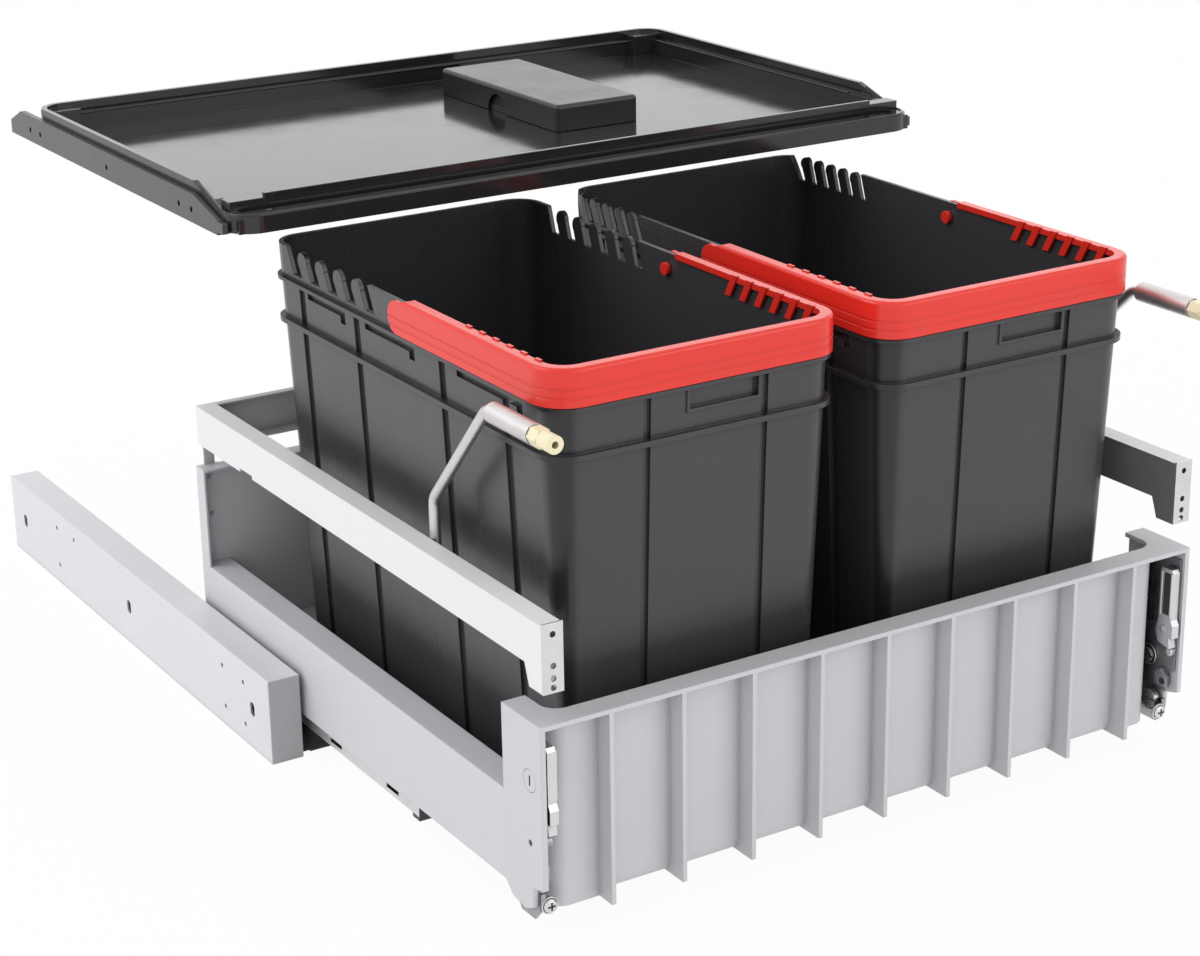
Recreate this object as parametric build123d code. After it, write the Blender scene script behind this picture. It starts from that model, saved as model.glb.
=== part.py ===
"""Pull-out frame with two waste bins, its rails and its fixed lid, in millimetres.

X runs from the left cabinet side to the right one, Y from the cabinet front to the back, Z up.
The model is laid out from the front lower edge of the left rail housing, and every piece is
then moved so that the origin is the centre of the left rail's screw line on the cabinet side.
The frame is drawn partly pulled out, as photographed.
"""
from build123d import *
import os

# Driving sizes
cabinet_width = 564.0       # between the two cabinet side panels
rail_length = 500.0         # of the rail housings
rail_height = 62.6
side_room = 27.5            # between the cabinet sides and the frame
frame_length = 485.0        # from the front plane to the back of the frame
pulled_out = 312.0          # how far the frame is drawn out of its closed place
closed_front = 8.0          # of the front plane before the rails with the frame pushed in
profile_height = 60.5       # of the side profiles
front_height = 129.7        # of the moulded front, from its lower edge
gallery_level = 210.0       # top of the gallery rails
bin_side_room = 16.5        # between the gallery and the mouth of the next bin
bin_spacing = 34.0          # between the mouths of the two bins
bin_depth = 376.0
bin_height = 309.7
lid_level = 368.4           # underside of the lid strips
lid_length = 382.0          # of the lid strips
sheet = 1.5                 # steel of the profiles, rails and gallery
gap = 0.3                   # clearance between pieces that move or slip together
fit = 0.05                  # radial clearance of a pin in its bore
overrun = 1.0               # how far a cutter passes through a face

middle = cabinet_width / 2
front_plane = -closed_front - pulled_out
frame_back = front_plane + frame_length
frame_side = side_room
gallery_inset = 3.0         # of the gallery from the frame's side
gallery_width = 14.0
gallery_left = frame_side + gallery_inset
gallery_right = gallery_left + gallery_width
bin_width = middle - gallery_right - bin_side_room - bin_spacing / 2    # over the walls at the mouth
bin_pitch = bin_width + bin_spacing


def block(x0, x1, y0, y1, z0, z1):
    """A box between two planes on each axis."""
    return Pos((x0 + x1) / 2, (y0 + y1) / 2, (z0 + z1) / 2) * Box(x1 - x0, y1 - y0, z1 - z0)


def round_x(y, z, radius, x0, x1):
    """A round bar along X."""
    return Pos((x0 + x1) / 2, y, z) * Rot(0, 90, 0) * Cylinder(radius, x1 - x0)


def round_y(x, z, radius, y0, y1):
    """A round bar along Y."""
    return Pos(x, (y0 + y1) / 2, z) * Rot(90, 0, 0) * Cylinder(radius, y1 - y0)


def round_z(x, y, radius, z0, z1):
    """A round bar along Z."""
    return Pos(x, y, (z0 + z1) / 2) * Cylinder(radius, z1 - z0)


def side_plate(points, x0, x1):
    """A plate that lies across X, with its outline given as (y, z) points."""
    outline = make_face(Polyline(*[(0, y, z) for y, z in points], close=True))
    return Pos(x0, 0, 0) * extrude(outline, amount=x1 - x0, dir=(1, 0, 0))


def upright(x, y, width, depth, corner, z0, z1):
    """A block with rounded upright corners."""
    return Pos(x, y, z0) * extrude(RectangleRounded(width, depth, corner), amount=z1 - z0)


def other_side(shape):
    """The same piece on the right side of the cabinet."""
    return mirror(shape, about=Plane.YZ.offset(middle))


pieces = {}


def pair(name, shape):
    """Keeps a left piece and its right counterpart."""
    pieces["left_" + name] = shape
    pieces["right_" + name] = other_side(shape)


# Rail housings: moulded boxes against the cabinet sides, with upright ovals for the screws of the web inside
housing_depth = 24.0
housing_wall = 1.5
housing_round = 1.0
screw_inset = 28.5          # of the outer screws from the rail ends
screw_radius = 3.2
oval_width = 7.0
oval_height = 11.0
driver_radius = 5.0         # of the driver holes in the inner wall
pilot_radius = 1.8
pilot_shares = ((0.154, 0.75), (0.084, 0.75), (0.150, 0.256), (0.084, 0.24),
                (0.794, 0.78), (0.720, 0.80), (0.794, 0.27))
rail_end_gap = 2.0          # between the housing ends and the runner arm
rail_middle = rail_height / 2
screw_places = (screw_inset, rail_length / 2, rail_length - screw_inset)

# Telescopic runners below the side profiles: cabinet, middle and drawer members
runner_level = 3.0          # underside of the cabinet member
runner_rim = 25.0           # top of its upright sides
runner_web_top = 50.0       # top of its web inside the housing
middle_level = 18.9
middle_height = 9.4
middle_length = 457.0
drawer_roof = 40.9          # underside of the drawer member's roof
drawer_rim = 31.0           # lower edge of its sides
profile_level = 29.5        # lower edge of the side profiles
profile_width = 21.0
bracket_length = 45.0       # of the front corners along Y
middle_room = 1.0           # between the corner brackets and the middle members, pushed in
middle_ratio = 0.625        # travel of the middle members per travel of the frame
middle_closed = bracket_length - closed_front + middle_room
runner_left = frame_side + sheet
runner_right = frame_side + profile_width - sheet
runner_top = runner_level + sheet
middle_top = middle_level + middle_height
middle_front = middle_closed - middle_ratio * pulled_out
profile_top = profile_level + profile_height
profile_front = front_plane + bracket_length


def rail_housing():
    body = fillet(block(0, housing_depth, 0, rail_length, 0, rail_height).edges(), housing_round)
    body -= block(housing_wall, housing_depth - housing_wall, housing_wall, rail_length - housing_wall,
                  housing_wall, rail_height - housing_wall)
    body -= block(housing_depth - housing_wall - overrun, housing_depth + overrun,
                  rail_end_gap - gap, rail_length - rail_end_gap + gap,
                  runner_level - gap, runner_top + gap)
    for y in screw_places:
        oval = Plane.YZ.offset(-overrun) * Pos(y, rail_middle) * Rot(0, 0, 90) * SlotOverall(oval_height, oval_width)
        body -= extrude(oval, amount=housing_wall + 2 * overrun)
        body -= round_x(y, rail_middle, driver_radius, housing_depth - housing_wall - overrun,
                        housing_depth + overrun)
    for y_share, z_share in pilot_shares:
        body -= round_x(y_share * rail_length, z_share * rail_height, pilot_radius,
                        -overrun, housing_wall + overrun)
    return body


def cabinet_runner():
    back = rail_length - rail_end_gap
    body = block(housing_wall, runner_right, rail_end_gap, back, runner_level, runner_top)
    body += block(housing_wall, housing_wall + sheet, rail_end_gap, back, runner_level, runner_web_top)
    body += block(runner_left, runner_right, 0, back, runner_level, runner_top)
    body += block(runner_left, runner_left + sheet, middle_closed, back, runner_level, runner_rim)
    body += block(runner_right - sheet, runner_right, middle_closed, back, runner_level, runner_rim)
    for y in screw_places:
        body -= round_x(y, rail_middle, screw_radius, housing_wall - overrun, housing_wall + sheet + overrun)
    return body


middle_slot_length = 17.0
middle_slot_height = 3.0
middle_slot_shares = (0.08, 0.26, 0.74, 0.92)
middle_left = runner_left + sheet + gap
middle_right = runner_right - sheet - gap


def middle_runner():
    back = middle_front + middle_length
    body = block(middle_left, middle_right, middle_front, back, middle_level, middle_top)
    body -= block(middle_left + sheet, middle_right - sheet, middle_front - overrun, back + overrun,
                  middle_level + sheet, middle_top - sheet)
    for share in middle_slot_shares:
        y = middle_front + share * middle_length
        slot_middle = (middle_level + middle_top) / 2
        body -= block(middle_left - overrun, middle_right + overrun,
                      y - middle_slot_length / 2, y + middle_slot_length / 2,
                      slot_middle - middle_slot_height / 2, slot_middle + middle_slot_height / 2)
    return body


cage_length = 190.0
cage_height = 6.0
cage_side = 1.2
lower_cage_closed = 152.0   # front end of each cage with the frame pushed in
upper_cage_closed = 160.0
cage_rollers = 4
cage_left = middle_left + gap
cage_right = middle_right - gap
lower_cage_front = lower_cage_closed - pulled_out * middle_ratio / 2
upper_cage_front = upper_cage_closed - pulled_out * (1 + middle_ratio) / 2


def cage_and_rollers(front, floor, roof):
    """A roller cage between two runner members, and its rollers."""
    radius = (roof - floor) / 2 - gap
    level = (roof + floor) / 2
    cage = block(cage_left, cage_right, front, front + cage_length, level - cage_height / 2, level + cage_height / 2)
    rollers = []
    for k in range(cage_rollers):
        y = front + (k + 0.5) * cage_length / cage_rollers
        cage -= block(cage_left + cage_side, cage_right - cage_side, y - radius - gap, y + radius + gap,
                      level - cage_height, level + cage_height)
        rollers.append(round_x(y, level, radius, cage_left + cage_side + gap, cage_right - cage_side - gap))
    return cage, Compound(rollers)


def drawer_runner():
    body = block(runner_left, runner_right, profile_front, frame_back - sheet, drawer_rim, drawer_roof + sheet)
    return body - block(runner_left + sheet, runner_right - sheet, profile_front - overrun, frame_back,
                        drawer_rim - overrun, drawer_roof)


pair("rail_housing", rail_housing())
pair("cabinet_runner", cabinet_runner())
pair("middle_runner", middle_runner())
lower_cage, lower_rollers = cage_and_rollers(lower_cage_front, runner_top, middle_level)
upper_cage, upper_rollers = cage_and_rollers(upper_cage_front, middle_top, drawer_roof)
pair("lower_cage", lower_cage)
pair("lower_rollers", lower_rollers)
pair("upper_cage", upper_cage)
pair("upper_rollers", upper_rollers)
pair("drawer_runner", drawer_runner())

# Side profiles, base panel and rear wall of the frame
base_level = 33.0           # underside of the base panel
base_thickness = 3.0
base_flange = 13.5
profile_round = 1.2
rear_top = 165.0            # of the rear wall
rear_lip = 12.0
post_width = 13.0
post_reach = 16.5
tongue_width = 8.0
ridge_height = 5.0
ridge_width = 3.0
ridge_gap = 1.0
ridge_corner = 12.0         # free length at each corner of the ridges
bin_setback = 33.0          # of the front walls of the bins behind the front plane
bin_taper = 0.04            # inward lean of the bin walls per unit of height
profile_inner = frame_side + profile_width
profile_inner_right = cabinet_width - profile_inner
base_top = base_level + base_thickness
front_sheet = 2.5           # wall of the moulded front
rib_depth = 14.5            # from the front plane back to the sheet
foot_round = 9.0            # of the sheet's lower edge, which curves back between the outer ribs
end_radius = 16.5           # width of the rounded ends of the front
end_reach = 28.5            # and their depth
end_inset = 26.5            # from the side of the frame to the start of the rounded ends
sheet_face = front_plane + rib_depth
sheet_back = sheet_face + front_sheet
end_x = frame_side + end_inset
end_y = sheet_face + end_reach
rear_face = frame_back - 2 * sheet
bin_middle = front_plane + bin_setback + bin_depth / 2
bin_floor_level = base_top + gap
bin_top = bin_floor_level + bin_height
bin_places = (middle - bin_pitch / 2, middle + bin_pitch / 2)
foot_half_width = bin_width / 2 - bin_taper * bin_height
foot_half_depth = bin_depth / 2 - bin_taper * bin_height


def side_profile():
    body = block(frame_side, profile_inner, profile_front, frame_back, profile_level, profile_top)
    body = fillet(body.edges().filter_by(Axis.Y).group_by(Axis.Z)[-1], profile_round)
    body -= block(frame_side + sheet, profile_inner - sheet, profile_front - overrun, frame_back + overrun,
                  profile_level - overrun, profile_top - sheet)
    body -= block(profile_inner - sheet - overrun, profile_inner + overrun, profile_front - overrun,
                  frame_back + overrun, profile_level - overrun, base_level - sheet)
    return body + block(profile_inner - sheet, profile_inner + base_flange, profile_front, rear_face,
                        base_level - sheet, base_level)


def base_panel():
    body = block(profile_inner, profile_inner_right, end_y, rear_face, base_level, base_top)
    body += block(end_x, cabinet_width - end_x, sheet_back, end_y, base_level, base_top)
    inner_x = foot_half_width + ridge_gap
    inner_y = foot_half_depth + ridge_gap
    for x in bin_places:
        for side in (-1, 1):
            near, far = sorted((x + side * inner_x, x + side * (inner_x + ridge_width)))
            body += block(near, far, bin_middle - inner_y + ridge_corner, bin_middle + inner_y - ridge_corner,
                          base_top, base_top + ridge_height)
        back = bin_middle + inner_y
        body += block(x - inner_x + ridge_corner, x + inner_x - ridge_corner, back, back + ridge_width,
                      base_top, base_top + ridge_height)
    return body


def rear_wall():
    body = block(frame_side + sheet, cabinet_width - frame_side - sheet, rear_face, rear_face + sheet,
                 profile_top, rear_top)
    body += block(profile_inner, profile_inner_right, rear_face, rear_face + sheet, base_level - sheet, rear_top)
    return body + block(frame_side + sheet, cabinet_width - frame_side - sheet, rear_face - rear_lip,
                        rear_face, rear_top - sheet, rear_top)


# Gallery rails: channels that are open below, with a foot at the front
gallery_height = 29.0
foot_drop = 14.0
foot_length = 15.0
foot_slope = 5.0
plate_thickness = 1.2
plate_top = 1.0
plate_hole = 2.0
plate_hole_shares = (0.08, 0.21, 0.39, 0.84)
notch_depth = 2.5
notch_length = 20.0
notch_share = 0.83          # of the rail's length, from the front
gallery_bottom = gallery_level - gallery_height
foot_level = gallery_bottom - foot_drop
gallery_front = front_plane + plate_thickness


def gallery_rail():
    notch = gallery_front + notch_share * frame_length
    outline = ((gallery_front, foot_level), (gallery_front + foot_length, foot_level),
               (gallery_front + foot_length + foot_slope, gallery_bottom),
               (frame_back, gallery_bottom), (frame_back, gallery_level), (gallery_front, gallery_level))
    body = side_plate(outline, gallery_left, gallery_right)
    body -= block(gallery_left + sheet, gallery_right - sheet, gallery_front - overrun, frame_back + overrun,
                  foot_level - overrun, gallery_level - sheet)
    return body - block(gallery_left - overrun, gallery_left + sheet + overrun, notch - notch_length / 2,
                        notch + notch_length / 2, gallery_bottom - overrun, gallery_bottom + notch_depth)


def gallery_end_plate():
    top = gallery_level + plate_top
    body = block(gallery_left, gallery_right, front_plane, gallery_front, foot_level, top)
    for share in plate_hole_shares:
        body -= round_y((gallery_left + gallery_right) / 2, foot_level + share * (top - foot_level),
                        plate_hole, front_plane - overrun, gallery_front + overrun)
    return body


def rear_gallery_rail():
    far = cabinet_width - gallery_right
    body = block(gallery_right, far, frame_back - sheet, frame_back, gallery_bottom, gallery_level)
    body += block(gallery_right, far, frame_back - rear_lip, frame_back, gallery_bottom, gallery_bottom + sheet)
    return body + block(gallery_right, far, frame_back - rear_lip / 2, frame_back,
                        gallery_level - sheet, gallery_level)


def rear_post():
    body = block(frame_side, frame_side + sheet, frame_back - post_width, frame_back, profile_top, rear_top)
    body += block(frame_side, frame_side + post_reach, frame_back - sheet, frame_back, profile_top, rear_top)
    tongue = (gallery_left + gallery_right) / 2
    return body + block(tongue - tongue_width / 2, tongue + tongue_width / 2, frame_back - sheet, frame_back,
                        profile_top, gallery_level - sheet)


pair("side_profile", side_profile())
pieces["base_panel"] = base_panel()
pieces["rear_wall"] = rear_wall()
pair("rear_post", rear_post())
pair("gallery_rail", gallery_rail())
pair("gallery_end_plate", gallery_end_plate())
pieces["rear_gallery_rail"] = rear_gallery_rail()

# Moulded front: a sheet with nine ribs, rounded back at both ends into the corner brackets
front_level = 17.3
rib_thickness = 3.0
rib_count = 9
rib_margin = 22.4           # from the rounded ends to the outer ribs
flange_thickness = 3.0
flange_width = rib_depth + front_sheet
corner_round = 12.0
wall_thickness = 3.5        # of the corner brackets
bracket_pad = 16.5          # width of the bracket's top at its back edge
front_top = front_level + front_height
rib_pitch = (cabinet_width - 2 * (end_x + rib_margin)) / (rib_count - 1)


def front_end(inset):
    """Upright oval column whose quarter makes a rounded end."""
    oval = Ellipse(end_radius - inset, end_reach - inset)
    return Pos(end_x, end_y, front_level) * extrude(oval, amount=front_height - flange_thickness)


def front_panel():
    far = cabinet_width - end_x
    first_rib = end_x + rib_margin
    last_rib = cabinet_width - first_rib
    body = block(end_x, far, sheet_face, sheet_back, front_level, front_top)
    body += block(end_x, far, front_plane, front_plane + flange_width, front_top - flange_thickness, front_top)
    # Between the outer ribs the sheet's lower edge curves back
    foot_y = sheet_face + foot_round
    foot_z = front_level + foot_round
    foot = block(first_rib, last_rib, sheet_face, foot_y, front_level, foot_z)
    body -= foot
    body += foot & (round_x(foot_y, foot_z, foot_round, first_rib, last_rib)
                    - round_x(foot_y, foot_z, foot_round - front_sheet, first_rib, last_rib))
    bend = front_end(0) - front_end(front_sheet)
    bend &= block(end_x - end_radius, end_x, sheet_face, end_y, front_level, front_top)
    body += bend
    body += other_side(bend)
    for k in range(rib_count):
        x = middle + (k - (rib_count - 1) / 2) * rib_pitch
        rib = block(x - rib_thickness / 2, x + rib_thickness / 2, front_plane, foot_y, front_level, front_top)
        rib -= block(x - rib_thickness, x + rib_thickness, sheet_back, foot_y, foot_z, front_top)
        body += rib - round_x(foot_y, foot_z, foot_round - front_sheet, x - rib_thickness, x + rib_thickness)
    return body


bracket_outline_shares = ((1.0, 0.095), (1.0, 1.0), (0.0, 1.0), (0.0, 0.18), (0.27, 0.155),
                          (0.29, 0.05), (0.49, 0.02), (0.83, 0.036))
disc_radius = 7.0
gear_reach = 41.0           # depth of the fixing gear behind the front plane
disc_y_share = 0.333        # of the gear's depth, from the front plane
disc_z_share = 0.70         # of the front's height
boss_hole = 2.2
boss_y_share = 0.35
boss_z_share = 0.382
disc_y = front_plane + disc_y_share * gear_reach
disc_z = front_level + disc_z_share * front_height


def front_bracket():
    outline = [(front_plane + y * bracket_length, front_level + z * front_height)
               for y, z in bracket_outline_shares]
    body = side_plate(outline, frame_side, frame_side + wall_thickness)
    pad = block(frame_side, end_x, front_plane, front_plane + flange_width, front_top - flange_thickness, front_top)
    pad += block(frame_side, frame_side + bracket_pad, front_plane, profile_front,
                 front_top - flange_thickness, front_top)
    inside = (frame_side + bracket_pad, front_plane + flange_width)
    hollow = block(inside[0], inside[0] + corner_round, inside[1], inside[1] + corner_round,
                   front_top - flange_thickness, front_top)
    hollow -= round_z(inside[0] + corner_round, inside[1] + corner_round, corner_round,
                      front_top - flange_thickness - overrun, front_top + overrun)
    body += pad + hollow
    body += block(frame_side, end_x - end_radius + front_sheet, end_y, profile_front,
                  profile_level, front_top)
    body -= round_x(disc_y, disc_z, disc_radius + gap, frame_side - overrun, frame_side + wall_thickness + overrun)
    return body - round_x(front_plane + boss_y_share * gear_reach, front_level + boss_z_share * front_height,
                          boss_hole, frame_side - overrun, frame_side + wall_thickness + overrun)


# Fixing gear of the furniture front, on the inner face of each corner bracket
gear_plate_shares = ((0.06, 0.93), (0.88, 0.93), (0.88, 0.42), (0.92, 0.30), (0.92, 0.02), (0.80, -0.03),
                     (0.42, -0.03), (0.28, 0.02), (0.28, 0.26), (0.06, 0.30))
gear_window_shares = (0.60, 0.82)  # shares of the gear's depth
gear_window_level_shares = ((0.535, 0.64), (0.675, 0.76))
cam_radius = 6.0
cam_width = 3.2
cam_pin = 2.0
cam_y_share = 0.66
cam_z_share = 0.337
low_cam_radius = 7.0
low_cam_width = 5.0
low_cam_y_share = 0.50
low_cam_z_share = 0.105
rivet_radius = 4.0
rivet_height = 2.5
rivet_y_share = 0.15
rivet_z_share = 0.41
hook_width = 3.5
hook_shares = ((0.15, 0.20), (0.42, 0.20), (0.42, 0.27), (0.28, 0.30), (0.15, 0.26))
lever_gap = 0.5
lever_width = 6.0
lever_pin = 2.0
lever_shares = ((0.05, 0.44), (0.32, 0.46), (0.40, 0.52), (0.34, 0.58), (0.34, 0.86), (0.30, 0.88),
                (0.09, 0.88), (0.05, 0.86), (0.05, 0.60), (0.0, 0.57), (0.0, 0.50), (0.08, 0.50))
lever_pivot_y_share = 0.20
lever_pivot_z_share = 0.54
gear_left = frame_side + wall_thickness
gear_face = gear_left + sheet


def on_bracket(y_share, z_share):
    """A place in the fixing gear, from shares of its depth and of the front's height."""
    return front_plane + y_share * gear_reach, front_level + z_share * front_height


def gear_plate():
    body = side_plate([on_bracket(y, z) for y, z in gear_plate_shares], gear_left, gear_face)
    for low, high in gear_window_level_shares:
        y0, z0 = on_bracket(gear_window_shares[0], low)
        y1, z1 = on_bracket(gear_window_shares[1], high)
        body -= block(gear_left - overrun, gear_face + overrun, y0, y1, z0, z1)
    body += round_x(*on_bracket(rivet_y_share, rivet_z_share), rivet_radius, gear_face, gear_face + rivet_height)
    body += side_plate([on_bracket(y, z) for y, z in hook_shares], gear_face, gear_face + hook_width)
    reach = gear_face + gap + cam_width
    body += round_x(*on_bracket(cam_y_share, cam_z_share), cam_pin, gear_face, reach)
    reach = gear_face + gap + low_cam_width
    body += round_x(*on_bracket(low_cam_y_share, low_cam_z_share), cam_pin, gear_face, reach)
    reach = gear_face + lever_gap + lever_width
    return body + round_x(*on_bracket(lever_pivot_y_share, lever_pivot_z_share), lever_pin, gear_face, reach)


cam_slot = 1.2


def slotted_cam(y, z, radius, width):
    """A round adjusting cam on its pin, with a driver slot in its face."""
    start = gear_face + gap
    body = round_x(y, z, radius, start, start + width)
    body -= block(start + width / 2, start + width + overrun, y - radius * 2, y + radius * 2,
                  z - cam_slot / 2, z + cam_slot / 2)
    return body - round_x(y, z, cam_pin + fit, start - overrun, start + width + overrun)


def fixing_lever():
    start = gear_face + lever_gap
    body = side_plate([on_bracket(y, z) for y, z in lever_shares], start, start + lever_width)
    return body - round_x(*on_bracket(lever_pivot_y_share, lever_pivot_z_share), lever_pin + fit,
                          start - overrun, start + lever_width + overrun)


disc_slot = 1.6
disc_slot_depth = 1.5


def adjuster_disc():
    body = round_x(disc_y, disc_z, disc_radius, frame_side, gear_left)
    return body - block(frame_side - overrun, frame_side + disc_slot_depth, disc_y - disc_slot / 2,
                        disc_y + disc_slot / 2, disc_z - disc_radius / 2, disc_z + disc_radius / 2)


pieces["front_panel"] = front_panel()
pair("front_bracket", front_bracket())
pair("fixing_plate", gear_plate())
pair("fixing_lever", fixing_lever())
pair("height_cam", slotted_cam(*on_bracket(cam_y_share, cam_z_share), cam_radius, cam_width))
pair("tilt_cam", slotted_cam(*on_bracket(low_cam_y_share, low_cam_z_share), low_cam_radius, low_cam_width))
pair("side_adjuster", adjuster_disc())

# Stabilisers: bent rods from the gallery up to a screwed sleeve and tip behind the furniture front
rod_radius = 3.6
rod_foot_y = 158.5          # of the rod's foot behind the front plane
rod_foot_drop = 22.0
rod_foot_length = 12.0
rod_foot_height = 16.0
rod_knee = 26.0             # height of the knee above the gallery
rod_shoulder_y = 77.0       # of the shoulder behind the front plane
rod_level = 107.5           # of the sleeve above the gallery
rod_inward = 2.5            # of the sleeve's axis inside the gallery's inner face
rod_bend = 12.0
sleeve_radius = 6.5
sleeve_length = 48.0
tip_length = 22.0
tip_radius = 6.4
tip_end_radius = 5.6
tip_end_length = 12.0
tip_hole = 2.2
tip_hole_depth = 5.0
stem_length = 14.0
right_advance = 25.0        # of the right stabiliser before the left one
sleeve_x = gallery_right - rod_inward
sleeve_z = gallery_level + rod_level
sleeve_front = front_plane + tip_length


def stabiliser_rod():
    foot_x = gallery_right + rod_radius
    foot_y = front_plane + rod_foot_y
    path = FilletPolyline((foot_x, foot_y, gallery_level - rod_foot_drop),
                          (foot_x, foot_y, gallery_level + rod_knee),
                          (sleeve_x, front_plane + rod_shoulder_y, sleeve_z),
                          (sleeve_x, sleeve_front + stem_length + gap, sleeve_z), radius=rod_bend)
    body = sweep(Plane(origin=path @ 0, z_dir=path % 0) * Circle(rod_radius), path=path)
    return body + block(gallery_right, gallery_right + 2 * rod_radius, foot_y - rod_foot_length / 2,
                        foot_y + rod_foot_length / 2, gallery_level - rod_foot_drop,
                        gallery_level - rod_foot_drop + rod_foot_height)


def stabiliser_sleeve():
    body = round_y(sleeve_x, sleeve_z, sleeve_radius, sleeve_front, sleeve_front + sleeve_length)
    return body - round_y(sleeve_x, sleeve_z, rod_radius + fit, sleeve_front - overrun,
                          sleeve_front + sleeve_length + overrun)


def stabiliser_tip():
    nut_front = front_plane + tip_end_length
    nut = Plane.XZ * RegularPolygon(tip_radius, 6)
    body = Pos(sleeve_x, nut_front, sleeve_z) * extrude(nut, amount=sleeve_front - gap - nut_front, dir=(0, 1, 0))
    body += round_y(sleeve_x, sleeve_z, tip_end_radius, front_plane, nut_front)
    body -= round_y(sleeve_x, sleeve_z, tip_hole, front_plane - overrun, front_plane + tip_hole_depth)
    return body + round_y(sleeve_x, sleeve_z, rod_radius, sleeve_front - gap, sleeve_front + stem_length)


pair("stabiliser_rod", stabiliser_rod())
pair("stabiliser_sleeve", stabiliser_sleeve())
pair("stabiliser_tip", stabiliser_tip())
for name in ("right_stabiliser_rod", "right_stabiliser_sleeve", "right_stabiliser_tip"):
    pieces[name] = Pos(0, -right_advance, 0) * pieces[name]

# Rear screws: pan heads behind the rear posts
screw_head_radius = 3.5
screw_head = 2.0
screw_shank = 1.75
post_screw_shares = (0.12, 0.5, 0.88)   # of the post's height
post_screw_x = frame_side + post_reach / 2
post_screw_levels = [profile_top + share * (rear_top - profile_top) for share in post_screw_shares]


def rear_screws():
    screws = []
    for x in (post_screw_x, cabinet_width - post_screw_x):
        for z in post_screw_levels:
            screws.append(round_y(x, z, screw_head_radius, frame_back, frame_back + screw_head)
                          + round_y(x, z, screw_shank, rear_face, frame_back))
    return Compound(screws)


def drilled(shape):
    """A piece with the clearance holes of the rear screws."""
    for x in (post_screw_x, cabinet_width - post_screw_x):
        for z in post_screw_levels:
            shape -= round_y(x, z, screw_shank + fit, rear_face - overrun, frame_back + overrun)
    return shape


pieces["rear_screws"] = rear_screws()
for name in ("rear_wall", "left_rear_post", "right_rear_post"):
    pieces[name] = drilled(pieces[name])

# Bins: tapered tubs with two belts, upright grooves and leaning combs cut into the side rims
bin_corner = 20.0
bin_wall = 3.0
bin_bottom = 3.0
pivot_level = 335.5
band_end_radius = 11.0      # of the rounded ends of the clamp bands round their pivots
belt_gap = 0.9              # between the upper belt and the band
belt_reach = 3.0
belt_height = 2.6
low_belt_level = 291.0
low_belt_height = 3.5
low_belt_reach = 4.0
mark_depth = 2.3            # of the grooves and recesses into the wall
front_recess_height = 13.0
frame_ridge = 2.0           # width of the ridge round the front recess
frame_reach = 1.2
side_recess_height = 6.0
notch_width = 7.0           # of the deeper notch at the front end of each side recess
notch_height = 11.0
front_recess_shares = (-0.04, 0.202)    # of the bin's width, from its middle
side_recess_shares = ((-0.40, -0.19), (-0.045, 0.133), (0.209, 0.355))   # of its depth, from its middle
front_groove = 5.0          # width of the upright grooves
side_groove = 8.0
front_groove_shares = (-0.184, 0.228)
side_groove_shares = (-0.348, -0.140, 0.165, 0.378)
comb_depth = 18.0           # of the slits below the rim
comb_lean_share = 0.4       # backward lean of the fingers per unit of height
finger_shares = ((0.50, 0.56), (0.55, 0.64))    # width of the fingers, of their pitch
finger_count = ((4, 5), (5, 5))     # on the left and right wall of each bin
finger_pitches = ((26.3, 21.7), (16.6, 15.0))
comb_back_shares = ((0.407, 0.389), (0.467, 0.463))     # back ends at the slits' floor, of the bin's depth
pin_radius = 2.5
pin_head_radius = 4.4
pin_head = 3.0
pivot_setback = 2.0         # of the pins before the middle of the bin
pivot_y = bin_middle - pivot_setback
half_width = bin_width / 2
half_depth = bin_depth / 2
belt_top = pivot_level - band_end_radius - belt_gap


def tub(x, inset, low):
    """The bin's tapered outline, drawn in by an inset, from a low level to the rim."""
    drop = bin_top - low
    lean = bin_taper * drop
    rim = Pos(x, bin_middle, bin_top) * RectangleRounded(
        bin_width - 2 * inset, bin_depth - 2 * inset, bin_corner - inset)
    foot = Pos(x, bin_middle, low) * RectangleRounded(
        bin_width - 2 * (inset + lean), bin_depth - 2 * (inset + lean), bin_corner - inset - lean)
    return loft([foot, rim], ruled=True)


def belt(x, reach, low, height):
    """A belt round the bin that stands out from its wall."""
    out = reach - bin_taper * (bin_top - low)
    return upright(x, bin_middle, bin_width + 2 * out, bin_depth + 2 * out, bin_corner + out, low, low + height)


def comb(x, side, count, pitch, finger_share, back_share):
    """Cutter that leaves leaning round-topped fingers on one side wall."""
    near, far = sorted((x + side * (half_width + bin_wall), x + side * (half_width - bin_corner / 2)))
    floor = bin_top - comb_depth
    finger = finger_share * pitch
    back = bin_middle + back_share * bin_depth
    front = back - (count + 1) * pitch + finger
    lean = comb_lean_share * (comb_depth + overrun)
    cutter = side_plate([(front, floor), (back, floor), (back + lean, bin_top + overrun),
                         (front + lean, bin_top + overrun)], near, far)
    top = bin_top - finger / 2
    lean = comb_lean_share * (top - floor)
    for k in range(count):
        y = back - (k + 1) * pitch + finger / 2
        cutter -= side_plate([(y - finger / 2, floor), (y + finger / 2, floor), (y + finger / 2 + lean, top),
                              (y - finger / 2 + lean, top)], near, far)
        cutter -= round_x(y + lean, top, finger / 2, near, far)
    return cutter


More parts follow.
